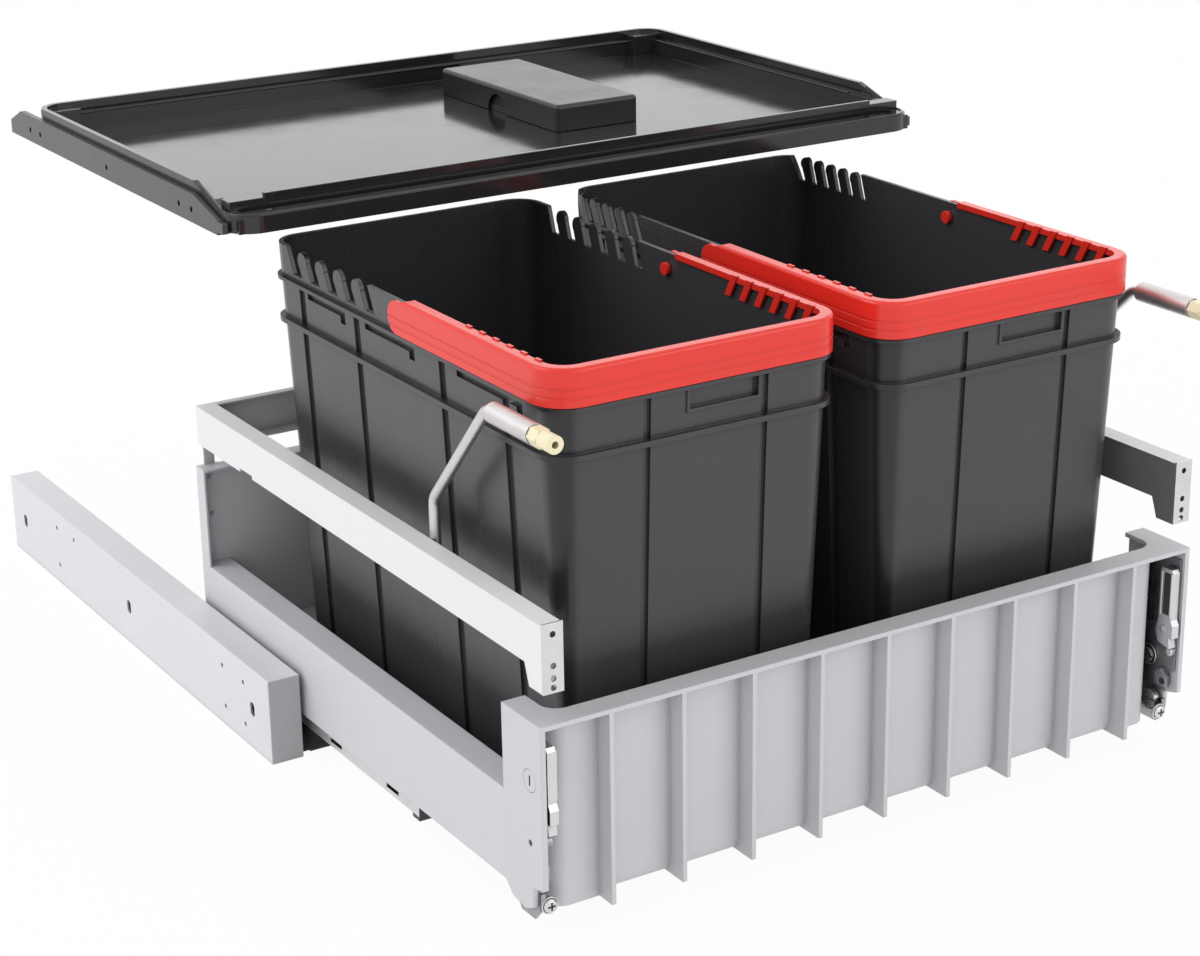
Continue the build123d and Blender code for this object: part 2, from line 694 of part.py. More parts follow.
def wall_marks(x):
    """Upright bars and short blocks through the walls, where grooves and recesses are sunk."""
    front = bin_middle - half_depth - overrun
    reach = half_width + overrun
    top = belt_top - belt_height
    first, last = (x + share * bin_width for share in front_recess_shares)
    marks = block(first, last, front, bin_middle, top - front_recess_height, top)
    for share in front_groove_shares:
        at = x + share * bin_width
        marks += block(at - front_groove / 2, at + front_groove / 2, front, bin_middle, bin_floor_level, top)
    for share in side_groove_shares:
        at = bin_middle + share * bin_depth
        marks += block(x - reach, x + reach, at - side_groove / 2, at + side_groove / 2, bin_floor_level, top)
    for shares in side_recess_shares:
        near, far = (bin_middle + share * bin_depth for share in shares)
        marks += block(x - reach, x + reach, near, far, top - side_recess_height, top)
        marks += block(x - reach, x + reach, near, near + notch_width, top - notch_height, top)
    return marks


def recess_ridge(x):
    """The ridge that frames the front recess on three sides."""
    front = bin_middle - half_depth - frame_reach
    top = belt_top - belt_height
    first, last = (x + share * bin_width for share in front_recess_shares)
    low = top - front_recess_height
    frame = block(first - frame_ridge, last + frame_ridge, front, bin_middle, low - frame_ridge, top)
    frame -= block(first, last, front - overrun, bin_middle, low, top + overrun)
    return frame & (tub(x, -frame_reach, bin_floor_level) - tub(x, bin_wall / 2, bin_floor_level))


def waste_bin(x, *comb_sizes):
    body = tub(x, 0, bin_floor_level)
    skin = tub(x, 0, bin_floor_level) - tub(x, mark_depth, bin_floor_level)
    body -= skin & wall_marks(x)
    body += recess_ridge(x)
    body += belt(x, belt_reach, belt_top - belt_height, belt_height)
    body += belt(x, low_belt_reach, low_belt_level, low_belt_height)
    body -= tub(x, bin_wall, bin_floor_level + bin_bottom)
    for side, *sizes in zip((-1, 1), *comb_sizes):
        body -= comb(x, side, *sizes)
    return body - round_x(pivot_y, pivot_level, pin_radius + fit, x - bin_width, x + bin_width)


# Clamp bands: red frames over the front half of each rim, swinging up on two pins
band_gap = 0.4              # between the wall and the band
band_thickness = 2.8
band_cap = 2.0
band_round = 2.4            # of the band's upper outer edge
cap_setback = 11.0          # of the cap's ends before the pins
cap_slope = 6.0             # length over which the band falls to its round ends
lip_height = 2.0
lip_thickness = 1.2
tooth_count = 6
tooth_pitch = 16.3
tooth_width = 6.0
tooth_lean = 8.0
tooth_height = 14.0
tooth_rise = 0.8            # of the teeth above the band
tooth_thickness = 2.0
tooth_front_share = 0.873   # of the half depth
flute_depth = 0.35
flute_height = 1.4
bore_end = 1.0              # of band left outside the pin's bore
band_bottom = pivot_level - band_end_radius
band_top = bin_top + gap + band_cap
band_inner = band_gap
band_outer = band_gap + band_thickness
lip_outer = -(bin_wall + bin_taper * tooth_height + gap)
pin_reach = half_width + band_outer - bore_end
cap_back = pivot_y - cap_setback


def rim_prism(x, out, low, high):
    """An upright block that follows the bin's rim at a given distance outside it."""
    return upright(x, bin_middle, bin_width + 2 * out, bin_depth + 2 * out, bin_corner + out, low, high)


def clamp_band(x):
    reach = half_width + 2 * band_outer
    front = bin_middle - half_depth - 2 * band_outer
    side_top = pivot_level + band_end_radius
    low = bin_top - tooth_height
    outer = fillet(rim_prism(x, band_outer, band_bottom, band_top).edges().group_by(Axis.Z)[-1], band_round)
    lower = outer - rim_prism(x, band_inner, band_bottom - overrun, band_top + overrun)
    for k in (1, 2):
        level = band_bottom + k * (side_top - band_bottom) / 4
        lower -= rim_prism(x, band_outer + overrun, level - flute_height / 2, level + flute_height / 2) \
            - rim_prism(x, band_outer - flute_depth, level - flute_height, level + flute_height)
    cap_place = block(x - reach, x + reach, front, cap_back, low, band_top)
    slope = [(cap_back, bin_top + gap), (cap_back + cap_slope, bin_top + gap), (cap_back, band_top)]
    keep = block(x - reach, x + reach, front, pivot_y, band_bottom, bin_top + gap)
    keep += round_x(pivot_y, pivot_level, band_end_radius, x - reach, x + reach)
    keep += cap_place + side_plate(slope, x - reach, x + reach)
    body = lower & keep
    cap = outer & block(x - reach, x + reach, front, bin_middle, bin_top + gap, band_top)
    cap -= rim_prism(x, lip_outer - lip_thickness, low, band_top + overrun)
    lip = rim_prism(x, lip_outer, band_top - band_cap - lip_height, band_top) \
        - rim_prism(x, lip_outer - lip_thickness, low, band_top + overrun)
    body += (cap + lip) & cap_place
    for k in range(tooth_count):
        y = bin_middle - tooth_front_share * half_depth + k * tooth_pitch
        outline = [(y - tooth_width / 2, band_top + tooth_rise), (y + tooth_width / 2, band_top + tooth_rise),
                   (y + tooth_width / 2 + tooth_lean, band_top - tooth_height),
                   (y - tooth_width / 2 + tooth_lean, band_top - tooth_height)]
        edge = half_width + lip_outer
        body += side_plate(outline, x - edge, x - edge + tooth_thickness)
        body += side_plate(outline, x + edge - tooth_thickness, x + edge)
    return body - round_x(pivot_y, pivot_level, pin_radius + fit, x - pin_reach, x + pin_reach)


def bin_pins(x):
    """The two pins of a band, with their round heads inside the bin."""
    inner = half_width + lip_outer
    pins = []
    for side in (-1, 1):
        near, far = sorted((x + side * inner, x + side * (pin_reach - gap)))
        head = sorted((x + side * (inner - pin_head), x + side * inner))
        pins.append(round_x(pivot_y, pivot_level, pin_radius, near, far)
                    + round_x(pivot_y, pivot_level, pin_head_radius, *head))
    return Compound(pins)


bin_combs = zip(finger_count, finger_pitches, finger_shares, comb_back_shares)
for side, place, comb_sizes in zip(("left", "right"), bin_places, bin_combs):
    pieces[side + "_bin"] = waste_bin(place, *comb_sizes)
    pieces[side + "_clamp_band"] = clamp_band(place)
    pieces[side + "_band_pins"] = bin_pins(place)

# Lid: two strips on the cabinet sides carry a tray that slides on their ledges
lid_front = 34.0            # front tips of the strips behind the cabinet front
strip_height = 20.0
strip_thickness = 4.0
strip_tip = 9.7             # height of the strip's front edge
strip_slope = 38.6
strip_back_slope = 23.0
strip_back = 9.9
nib_length = 8.0
nib_low = 2.0
nib_high = 9.0
ledge_width = 10.0
ledge_thickness = 2.0
strip_hole = 2.2
strip_hole_level = 9.0
strip_hole_shares = (0.108, 0.162, 0.496, 0.838, 0.892)
strip_hole_places = [lid_front + share * lid_length for share in strip_hole_shares]
lid_back = lid_front + lid_length


def lid_strip():
    outline = [(0, 0), (lid_length, 0), (lid_length, strip_back), (lid_length - strip_back_slope, strip_height),
               (strip_slope, strip_height), (0, strip_tip), (0, nib_high), (-nib_length, nib_high),
               (-nib_length, nib_low), (0, nib_low)]
    outline = [(lid_front + y, lid_level + z) for y, z in outline]
    body = side_plate(outline, 0, strip_thickness)
    body += block(0, strip_thickness + ledge_width, lid_front, lid_back, lid_level, lid_level + ledge_thickness)
    for y in strip_hole_places:
        body -= round_x(y, lid_level + strip_hole_level, strip_hole, -overrun, strip_thickness + overrun)
    return body


tray_rise = 27.0            # top of the tray's rim above the underside of the strips
tray_reach = 20.0           # of the front lip before the strips
tray_back = 341.0           # of the tray's back behind the strips' tips
tray_corner = 20.0
tray_skin = 2.0
tray_floor = 7.0            # level of the floor above the underside of the strips
rim_width = 10.0
rim_step = 4.0
step_drop = 8.0
lip_top = 14.0
lip_slope_start = 46.0
lip_slope_end = 4.0
lip_ridge = 1.5
fence_side = 40.0           # of the raised front fence from each cabinet side
fence_top = 24.0            # above the underside of the strips
fence_thickness = 3.0
lip_depth = 18.0
corner_block = 26.0
corner_block_depth = 9.0
corner_block_drop = 3.0
tray_left = strip_thickness + gap
tray_bottom = lid_level + ledge_thickness + gap
tray_top = lid_level + tray_rise
floor_top = lid_level + tray_floor
tray_front_y = lid_front - tray_reach
tray_back_y = lid_front + tray_back
tray_middle = (tray_front_y + tray_back_y) / 2
tray_depth = tray_back_y - tray_front_y
tray_width = cabinet_width - 2 * tray_left


def tray_block(inset, low, high):
    return upright(middle, tray_middle, tray_width - 2 * inset, tray_depth - 2 * inset,
                   tray_corner - inset, low, high)


# Filter box on the tray: a vented frame, a pad and a lift-off cover
box_offset = 40.0           # of the box's left side from the middle
box_width = 72.0
box_front = 106.0           # behind the strips' tips
box_depth = 178.0
box_height = 20.0
box_corner = 4.0
box_wall = 1.8
frame_wall = 1.5
frame_height = 5.0
frame_floor = 1.0
pad_height = 13.0
vent_count = 9
vent_width = 6.0
vent_margin = 10.0
box_left = middle + box_offset
box_x = box_left + box_width / 2
box_y = lid_front + box_front + box_depth / 2
frame_inset = box_wall + gap
pad_inset = frame_inset + frame_wall + gap


def box_block(inset, low, high):
    return upright(box_x, box_y, box_width - 2 * inset, box_depth - 2 * inset,
                   max(box_corner - inset, box_corner / 4), low, high)


def vents(low, high):
    """The row of vent slots below the filter."""
    span = box_depth - 2 * pad_inset - 2 * vent_margin
    slots = None
    for k in range(vent_count):
        y = box_y + (k / (vent_count - 1) - 0.5) * span
        slot = block(box_left + pad_inset + vent_margin, box_left + box_width - pad_inset - vent_margin,
                     y - vent_width / 2, y + vent_width / 2, low, high)
        slots = slot if slots is None else slots + slot
    return slots


def lid_tray():
    body = tray_block(0, tray_bottom, tray_top)
    shelf = tray_top - step_drop
    body -= tray_block(rim_step, shelf, tray_top + overrun)
    body -= tray_block(rim_width, floor_top, tray_top + overrun)
    body += block(tray_left + rim_step, cabinet_width - tray_left - rim_step, tray_front_y + rim_step,
                  tray_front_y + lip_depth, tray_bottom, lid_level + lip_top - lip_ridge)
    # The rim falls along the slope of the strips to the low front lip
    reach = tray_front_y - overrun
    slope = [(reach, tray_top + overrun), (reach, lid_level + lip_top), (lid_front + lip_slope_end, lid_level + lip_top),
             (lid_front + lip_slope_start, tray_top), (lid_front + lip_slope_start, tray_top + overrun)]
    body -= side_plate(slope, 0, cabinet_width)
    fence_y = tray_front_y + lip_depth
    body += block(fence_side, cabinet_width - fence_side, fence_y, fence_y + fence_thickness,
                  tray_bottom, lid_level + fence_top)
    back_y = tray_back_y - rim_width - corner_block_depth
    front_y = fence_y + fence_thickness + corner_block_depth
    for x0 in (tray_left + rim_step, cabinet_width - tray_left - rim_step - corner_block):
        body += block(x0, x0 + corner_block, back_y, tray_back_y - rim_step, floor_top - tray_skin,
                      tray_top - corner_block_drop)
        body += block(x0, x0 + corner_block, fence_y, front_y, floor_top - tray_skin,
                      lid_level + fence_top - corner_block_drop)
    hollow = tray_block(rim_width + tray_skin, tray_bottom - overrun, floor_top - tray_skin)
    hollow &= block(0, cabinet_width, fence_y + fence_thickness, tray_back_y, tray_bottom - overrun, floor_top)
    body -= hollow
    return body - vents(tray_bottom - overrun, floor_top + overrun)


def filter_frame():
    body = box_block(frame_inset, floor_top, floor_top + frame_height)
    body -= box_block(frame_inset + frame_wall, floor_top + frame_floor, floor_top + frame_height + overrun)
    return body - vents(floor_top - overrun, floor_top + frame_floor + overrun)


def filter_pad():
    return box_block(pad_inset, floor_top + frame_floor + gap, floor_top + frame_floor + gap + pad_height)


cover_round = 3.0
grip_radius = 14.0          # of the half-round finger notch in the cover's left wall


def filter_cover():
    low = floor_top + gap
    body = fillet(box_block(0, low, low + box_height).edges().group_by(Axis.Z)[-1], cover_round)
    body -= box_block(box_wall, low - overrun, low + box_height - box_wall)
    return body - round_x(box_y, low, grip_radius, box_left - overrun, box_left + box_wall + overrun)


pair("lid_strip", lid_strip())
pieces["lid_tray"] = lid_tray()
pieces["filter_frame"] = filter_frame()
pieces["filter_pad"] = filter_pad()
pieces["filter_cover"] = filter_cover()

# Every piece goes to the frame whose origin is the centre of the left rail's screw line
to_frame = Pos(0, -rail_length / 2, -rail_middle)
os.makedirs("parts", exist_ok=True)
for name, shape in pieces.items():
    export_step(to_frame * shape, f"parts/{name}.step")
print(len(pieces), "pieces")
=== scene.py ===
"""Looks of a pull-out frame with two waste bins: finishes, fixing gear and a pale studio."""
import math

import bmesh
import bpy
from mathutils import Matrix, Vector


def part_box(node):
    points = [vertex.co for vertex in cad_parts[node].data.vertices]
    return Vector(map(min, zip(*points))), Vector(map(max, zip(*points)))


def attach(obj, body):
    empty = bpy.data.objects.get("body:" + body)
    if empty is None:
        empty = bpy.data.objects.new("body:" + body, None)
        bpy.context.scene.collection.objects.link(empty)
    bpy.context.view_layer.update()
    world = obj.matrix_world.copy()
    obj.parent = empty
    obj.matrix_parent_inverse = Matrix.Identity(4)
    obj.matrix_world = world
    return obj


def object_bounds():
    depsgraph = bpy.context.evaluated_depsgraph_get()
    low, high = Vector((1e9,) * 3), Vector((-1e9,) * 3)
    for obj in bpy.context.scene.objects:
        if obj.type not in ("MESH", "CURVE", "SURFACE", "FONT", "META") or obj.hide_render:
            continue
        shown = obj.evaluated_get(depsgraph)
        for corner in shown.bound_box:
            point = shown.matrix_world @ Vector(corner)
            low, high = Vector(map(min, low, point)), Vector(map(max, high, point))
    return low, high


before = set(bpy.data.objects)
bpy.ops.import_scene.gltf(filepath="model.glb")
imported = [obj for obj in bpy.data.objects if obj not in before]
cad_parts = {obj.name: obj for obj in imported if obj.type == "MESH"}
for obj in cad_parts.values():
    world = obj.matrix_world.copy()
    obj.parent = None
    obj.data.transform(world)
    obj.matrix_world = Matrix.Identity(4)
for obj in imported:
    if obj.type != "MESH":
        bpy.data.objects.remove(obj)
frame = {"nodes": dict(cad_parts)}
cad_low, cad_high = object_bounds()
nodes = frame["nodes"]

bl_info = {
    "name": "Pull-out Bin Frame",
    "version": (1, 0, 0),
    "blender": (4, 5, 0),
    "location": "View3D > Sidebar > Bin Frame",
    "description": "Dresses a pull-out frame with two waste bins and its lid, "
                   "and sets a pale studio round it",
    "category": "Object",
}

SIDES = ("left", "right")
MM = 0.001
ACROSS = Vector((1.0, 0.0, 0.0))
BACK = Vector((0.0, 1.0, 0.0))
UP = Vector((0.0, 0.0, 1.0))


# Shader expressions

# Rays for each look at a rounded edge or a corner
SURFACE_SAMPLES = 6
# Where the mask of the edges starts and where it is full
EDGE_MASK = (0.03, 0.25)


class Field:
    """A value, colour or vector that changes over a surface, as one socket of a node tree."""

    def __init__(self, owner, socket):
        self.owner = owner
        self.socket = socket

    def _math(self, operation, *values):
        return self.owner.node("ShaderNodeMath", {"operation": operation}, dict(enumerate(values)))

    def __add__(self, other):
        return self._math("ADD", self, other)

    __radd__ = __add__

    def __sub__(self, other):
        return self._math("SUBTRACT", self, other)

    def __rsub__(self, other):
        return self._math("SUBTRACT", other, self)

    def __mul__(self, other):
        return self._math("MULTIPLY", self, other)

    __rmul__ = __mul__

    def __or__(self, other):
        return self._math("MAXIMUM", self, other)

    __ror__ = __or__

    def limit(self, low, high, start=0.0, end=1.0):
        """This value taken from one span to another, and held at its ends."""
        return self.owner.node("ShaderNodeMapRange", {"clamp": True, "interpolation_type": "SMOOTHSTEP"},
                               {"Value": self, "From Min": low, "From Max": high,
                                "To Min": start, "To Max": end}, "Result")


class Tree:
    """A node tree that is filled by one method."""

    def __init__(self, tree):
        self.tree = tree
        self.tree.nodes.clear()

    def node(self, kind, settings, sockets, output=0):
        """A new node: its settings first, then the values or links of its sockets."""
        made = self.tree.nodes.new(kind)
        for key, value in settings.items():
            setattr(made, key, value)
        for key, value in sockets.items():
            if isinstance(value, Field):
                self.tree.links.new(value.socket, made.inputs[key])
            else:
                made.inputs[key].default_value = value
        return Field(self, made.outputs[output]) if made.outputs else made

    def seen(self):
        """One for rays from the camera or a gloss, and zero for those that carry light."""
        rays = [self.node("ShaderNodeLightPath", {}, {}, f"Is {kind} Ray")
                for kind in ("Camera", "Glossy", "Transmission")]
        return rays[0] | rays[1] | rays[2]


class Finish(Tree):
    """A material built from node expressions on one surface shader."""

    def __init__(self, name, **constants):
        self.material = bpy.data.materials.new(name)
        self.material.use_nodes = True
        super().__init__(self.material.node_tree)
        self.surface = self.node("ShaderNodeBsdfPrincipled", {}, {}, "BSDF")
        self.output = self.node("ShaderNodeOutputMaterial", {}, {"Surface": self.surface})
        self.set(**constants)
        self.place = self.node("ShaderNodeTexCoord", {}, {}, "Object")
        self.rounded = {}

    def set(self, **values):
        """Sets sockets of the surface shader, by name with underscores for spaces."""
        for key, value in values.items():
            socket = self.surface.socket.node.inputs[key.replace("_", " ")]
            if isinstance(value, Field):
                self.tree.links.new(value.socket, socket)
            else:
                socket.default_value = value

    def noise(self, size, detail=2.0, roughness=0.5, stretch=(1.0, 1.0, 1.0)):
        """Noise whose cells measure about a given size in metres."""
        place = self.node("ShaderNodeVectorMath", {"operation": "MULTIPLY"}, {0: self.place, 1: stretch})
        return self.node("ShaderNodeTexNoise", {}, {"Vector": place, "Scale": 1.0 / size, "Detail": detail,
                                                    "Roughness": roughness}, "Fac")

    def cells(self, size):
        """Distance from the middle of each of many cells, which measure about a given size in metres."""
        return self.node("ShaderNodeTexVoronoi", {},
                         {"Vector": self.place, "Scale": 1.0 / size}, "Distance")

    def mix(self, factor, first, second):
        """Two colours, mixed by a factor."""
        return self.node("ShaderNodeMix", {"data_type": "RGBA"}, {0: factor, 6: first, 7: second}, 2)

    def part(self, vector, axis):
        """One component of a vector."""
        return self.node("ShaderNodeSeparateXYZ", {}, {"Vector": vector}, axis)

    def facing(self, axis):
        """How far the surface faces along an axis, from minus one to one."""
        return self.part(self.node("ShaderNodeTexCoord", {}, {}, "Normal"), axis)

    def soft(self, radius):
        """The surface's direction with its edges rounded by a radius in metres."""
        if radius not in self.rounded:
            self.rounded[radius] = self.node("ShaderNodeBevel", {"samples": SURFACE_SAMPLES},
                                             {"Radius": radius}, "Normal")
        return self.rounded[radius]

    def edges(self, radius):
        """One along the rounded edges and zero on the faces."""
        plain = self.node("ShaderNodeNewGeometry", {}, {}, "Normal")
        along = self.node("ShaderNodeVectorMath", {"operation": "DOT_PRODUCT"},
                          {0: self.soft(radius), 1: plain}, "Value")
        return (1.0 - along).limit(*EDGE_MASK)

    def painted_edge_highlight(self, base, pale, radius, share):
        """A colour that goes towards a paler one along the edges as a painted highlight, by a share."""
        return self.mix(self.edges(radius) * share, base, pale)

    def painted_corner_shade(self, base, dark, reach, mask, share):
        """A colour that goes towards a darker one in corners as painted shade, by a share; the reach is in
        metres.
        """
        open_air = self.node("ShaderNodeAmbientOcclusion", {"samples": SURFACE_SAMPLES},
                             {"Distance": reach}, "AO")
        return self.mix(open_air.limit(*mask, share, 0.0), base, dark)

    def relief(self, height, depth, edge=0.0):
        """A bump of a given depth in metres, over edges rounded by a given radius."""
        sockets = {"Height": height, "Distance": depth, "Strength": 1.0}
        if edge:
            sockets["Normal"] = self.soft(edge)
        return self.node("ShaderNodeBump", {}, sockets, "Normal")


def shade(colour, factor):
    """A colour made lighter or darker, as four numbers."""
    return (*(min(1.0, c * factor) for c in colour[:3]), 1.0)


# Mesh helpers

SMOOTH_ANGLE = math.radians(40)
BEVEL_STEPS = 2
TUBE_SIDES = 10
TURNED_SIDES = 28
ARC_STEPS = 24
# Angles of a ring that closes by itself, one step short of a full turn
FULL_RING = (0, 345)


def placed(name, build):
    """An object in the scene from a bmesh."""
    mesh = bpy.data.meshes.new(name)
    build.to_mesh(mesh)
    build.free()
    piece = bpy.data.objects.new(name, mesh)
    bpy.context.scene.collection.objects.link(piece)
    return piece


def add_piece(name, build, body, finish, edge=None):
    """A piece from a bmesh, riding on a body, with its edges rounded by a width in metres."""
    bmesh.ops.recalc_face_normals(build, faces=build.faces[:])
    piece = placed(name, build)
    mesh = piece.data
    mesh.materials.append(finish.material)
    if edge:
        bevel = piece.modifiers.new("edges", "BEVEL")
        bevel.width = edge
        bevel.segments = BEVEL_STEPS
        bevel.limit_method = "ANGLE"
    for face in mesh.polygons:
        face.use_smooth = True
    mesh.set_sharp_from_angle(angle=SMOOTH_ANGLE)
    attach(piece, body)


def ring(build, centre, side, rise, radius, count):
    """A circle of points, in the plane of two directions."""
    turns = [2 * math.pi * j / count for j in range(count)]
    return [build.verts.new(centre + (side * math.cos(a) + rise * math.sin(a)) * radius) for a in turns]


def skin(build, rings, closed=False):
    """Faces between rings of points, with flat ends unless the rings close on themselves."""
    pairs = list(zip(rings, rings[1:])) + ([(rings[-1], rings[0])] if closed else [])
    for first, second in pairs:
        for j in range(len(first)):
            build.faces.new((first[j - 1], first[j], second[j], second[j - 1]))
    if not closed:
        build.faces.new(rings[0])
        build.faces.new(rings[-1])


def tube(build, path, radius, up, closed=False):
    """Sweeps a round section along points; up is never along the path."""
    rings = []
    for k, point in enumerate(path):
        before = path[k - 1] if closed or k else point
        after = path[(k + 1) % len(path)] if closed or k + 1 < len(path) else point
        side = (after - before).cross(up).normalized()
        rise = side.cross(after - before).normalized()
        rings.append(ring(build, point, side, rise, radius, TUBE_SIDES))
    skin(build, rings, closed)


def turned(build, profile, centre, axis):
    """Turns a profile about an axis; its points are radius and height in millimetres."""
    axis = axis.normalized()
    side = axis.orthogonal().normalized()
    rise = axis.cross(side)
    skin(build, [ring(build, centre + axis * (height * MM), side, rise, radius * MM, TURNED_SIDES)
                 for radius, height in profile])


def bar(build, low, high):
    """A block between two corners."""
    corners = [Vector((x, y, z)) for x in (low.x, high.x) for y in (low.y, high.y) for z in (low.z, high.z)]
    verts = [build.verts.new(c) for c in corners]
    for face in ((0, 1, 3, 2), (4, 6, 7, 5), (0, 4, 5, 1), (2, 3, 7, 6), (0, 2, 6, 4), (1, 5, 7, 3)):
        build.faces.new([verts[k] for k in face])


def block(build, centre, reach):
    """A block about its middle, reaching as far each way as the numbers in millimetres say."""
    reach = Vector(reach) * MM
    bar(build, centre - reach, centre + reach)


def arc(centre, first, second, radius, start, end):
    """Points on an arc, at angles in degrees from the first direction towards the second."""
    turns = [math.radians(start + (end - start) * k / ARC_STEPS) for k in range(ARC_STEPS + 1)]
    return [centre + (first * math.cos(a) + second * math.sin(a)) * radius for a in turns]


def mirrored(points, middle):
    """Points followed by their mirror images on the other side of a middle."""
    return points + [Vector((2 * middle - p.x, p.y, p.z)) for p in reversed(points)]


def centre_of(name):
    """The middle of a node's box."""
    low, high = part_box(name)
    return (low + high) / 2


def dress(finish, *names):
    """Gives nodes a finish."""
    for name in names:
        node = nodes[name]
        if not node.material_slots:
            node.data.materials.append(finish.material)
        for slot in node.material_slots:
            slot.link = "DATA"
            slot.material = finish.material


def both(*names):
    """The left and right nodes of each name."""
    return [f"{side}_{name}" for side in SIDES for name in names]


# Finishes

# Spans of the masks, the first four for painted shade and a painted dark reflection and the last for rubbed
# wear: the first two fade out along theirs, and the others grow
TOWARDS_MIDDLE = (-0.08, -0.04)
TOWARDS_FRONT = (-0.9, -0.5)
ROUND_A_BEND = (0.12, 0.42)
AWAY_FROM_CENTRE = (0.05, 0.3)
RUBBED = (0.55, 0.75)
# The middle of a piece's own box, whose sides lie at zero and one
MIDWAY = 0.5
# Roughness: how far each kind of mark moves it, and what is taken off so that its mean stays put
COAT_UNEVEN, COAT_OFFSET = 0.10, 0.05
FLOW_UNEVEN, RUB_UNEVEN, MOULDED_OFFSET = 0.12, 0.06, 0.08
DRAG_UNEVEN, STAIN_UNEVEN, ZINC_OFFSET = 0.16, 0.08, 0.12
# Stretches that draw the noise out: flow marks upright, drag marks and fibres from front to back
FLOW_STRETCH = (1.0, 1.0, 0.15)
DRAG_STRETCH = (1.0, 0.08, 1.0)
FIBRE_STRETCH = (1.0, 0.3, 1.0)


def powder_coat(name, colour, grain, tone=0.03, roughness=0.42, inner=None, middle=0.0):
    """Fine-grained coat with painted shade in its corners and painted highlights on its edges; faces turned
    to the middle may take a colour of their own as painted shade.
    """
    edge, highlight_tone, highlight_share = 0.5 * MM, 1.25, 0.5
    corner_shade_tone, corner_shade_share, grain_depth = 0.5, 0.35, 0.05 * MM
    finish = Finish(name, Metallic=0.0, Specular_IOR_Level=0.4)
    drift = finish.noise(size=0.06, detail=3.0)
    grains = finish.noise(size=grain, detail=3.0, roughness=0.6)
    base = finish.mix(drift, shade(colour, 1.0 - tone), shade(colour, 1.0 + tone))
    if inner is not None:
        # Faces turned to the middle take the darker inner colour: painted shade
        inward = (finish.part(finish.place, "X") - middle) * finish.facing("X")
        base = finish.mix(inward.limit(*TOWARDS_MIDDLE, 1.0, 0.0), base, shade(inner, 1.0))
    # Painted shade in the corners
    base = finish.painted_corner_shade(base, shade(colour, corner_shade_tone), reach=0.012, mask=(0.2, 0.9),
                               share=corner_shade_share)
    # Painted highlight along the edges
    finish.set(Base_Color=finish.painted_edge_highlight(base, shade(colour, highlight_tone), edge, highlight_share),
               Roughness=finish.noise(size=0.004) * COAT_UNEVEN + (roughness - COAT_OFFSET),
               Normal=finish.relief(grains, grain_depth, edge))
    return finish


def moulded(name, colour, grain=0.9 * MM, roughness=0.4, tone=0.05, edge=0.6 * MM, depth=0.04 * MM,
            worn=1.0, corner=0.6, highlight_tone=1.2, bend_reflection_share=0.0, front_shade_tone=1.0):
    """Moulded plastic with flow marks, rubbed patches, painted shade in its corners and painted highlights
    on its edges.

    Its outer upright bends may darken by a share as a painted dark reflection, and its front faces by a
    tone as painted shade.
    """
    highlight_share, corner_shade_tone, bend_reflection_tone, rub_share = 0.6, 0.25, 0.2, 0.25
    finish = Finish(name, Metallic=0.0, Specular_IOR_Level=0.5)
    drift = finish.noise(size=0.05, detail=3.0)
    grains = finish.noise(size=grain, detail=3.0, roughness=0.6)
    flow = finish.noise(size=0.03, stretch=FLOW_STRETCH)
    rub = finish.noise(size=0.012, detail=5.0, roughness=0.7).limit(*RUBBED)
    base = finish.mix(drift, shade(colour, 1.0 - tone), shade(colour, 1.0 + tone))
    base = finish.mix(rub * rub_share, base, shade(colour, worn))
    # Painted shade in the corners
    base = finish.painted_corner_shade(base, shade(colour, corner_shade_tone), reach=0.008, mask=(0.1, 0.85),
                               share=corner)
    # Front faces darker: painted shade
    if front_shade_tone < 1.0:
        front = finish.facing("Y").limit(*TOWARDS_FRONT, 1.0, 0.0)
        base = finish.mix(front, base, shade(colour, front_shade_tone))
    # Outer upright bends darker: a painted dark reflection
    if bend_reflection_share:
        across, along = finish.facing("X"), finish.facing("Y")
        within = finish.node("ShaderNodeTexCoord", {}, {}, "Generated")
        outward = ((finish.part(within, "X") - MIDWAY) * across
                   + (finish.part(within, "Y") - MIDWAY) * along)
        bend_reflection_mask = (across * along).limit(*ROUND_A_BEND) * outward.limit(*AWAY_FROM_CENTRE)
        base = finish.mix(bend_reflection_mask * bend_reflection_share, base, shade(colour, bend_reflection_tone))
    # Painted highlight along the edges
    finish.set(Base_Color=finish.painted_edge_highlight(base, shade(colour, highlight_tone), edge, highlight_share),
               Roughness=flow * FLOW_UNEVEN + rub * RUB_UNEVEN + (roughness - MOULDED_OFFSET),
               Normal=finish.relief(grains, depth, edge))
    return finish


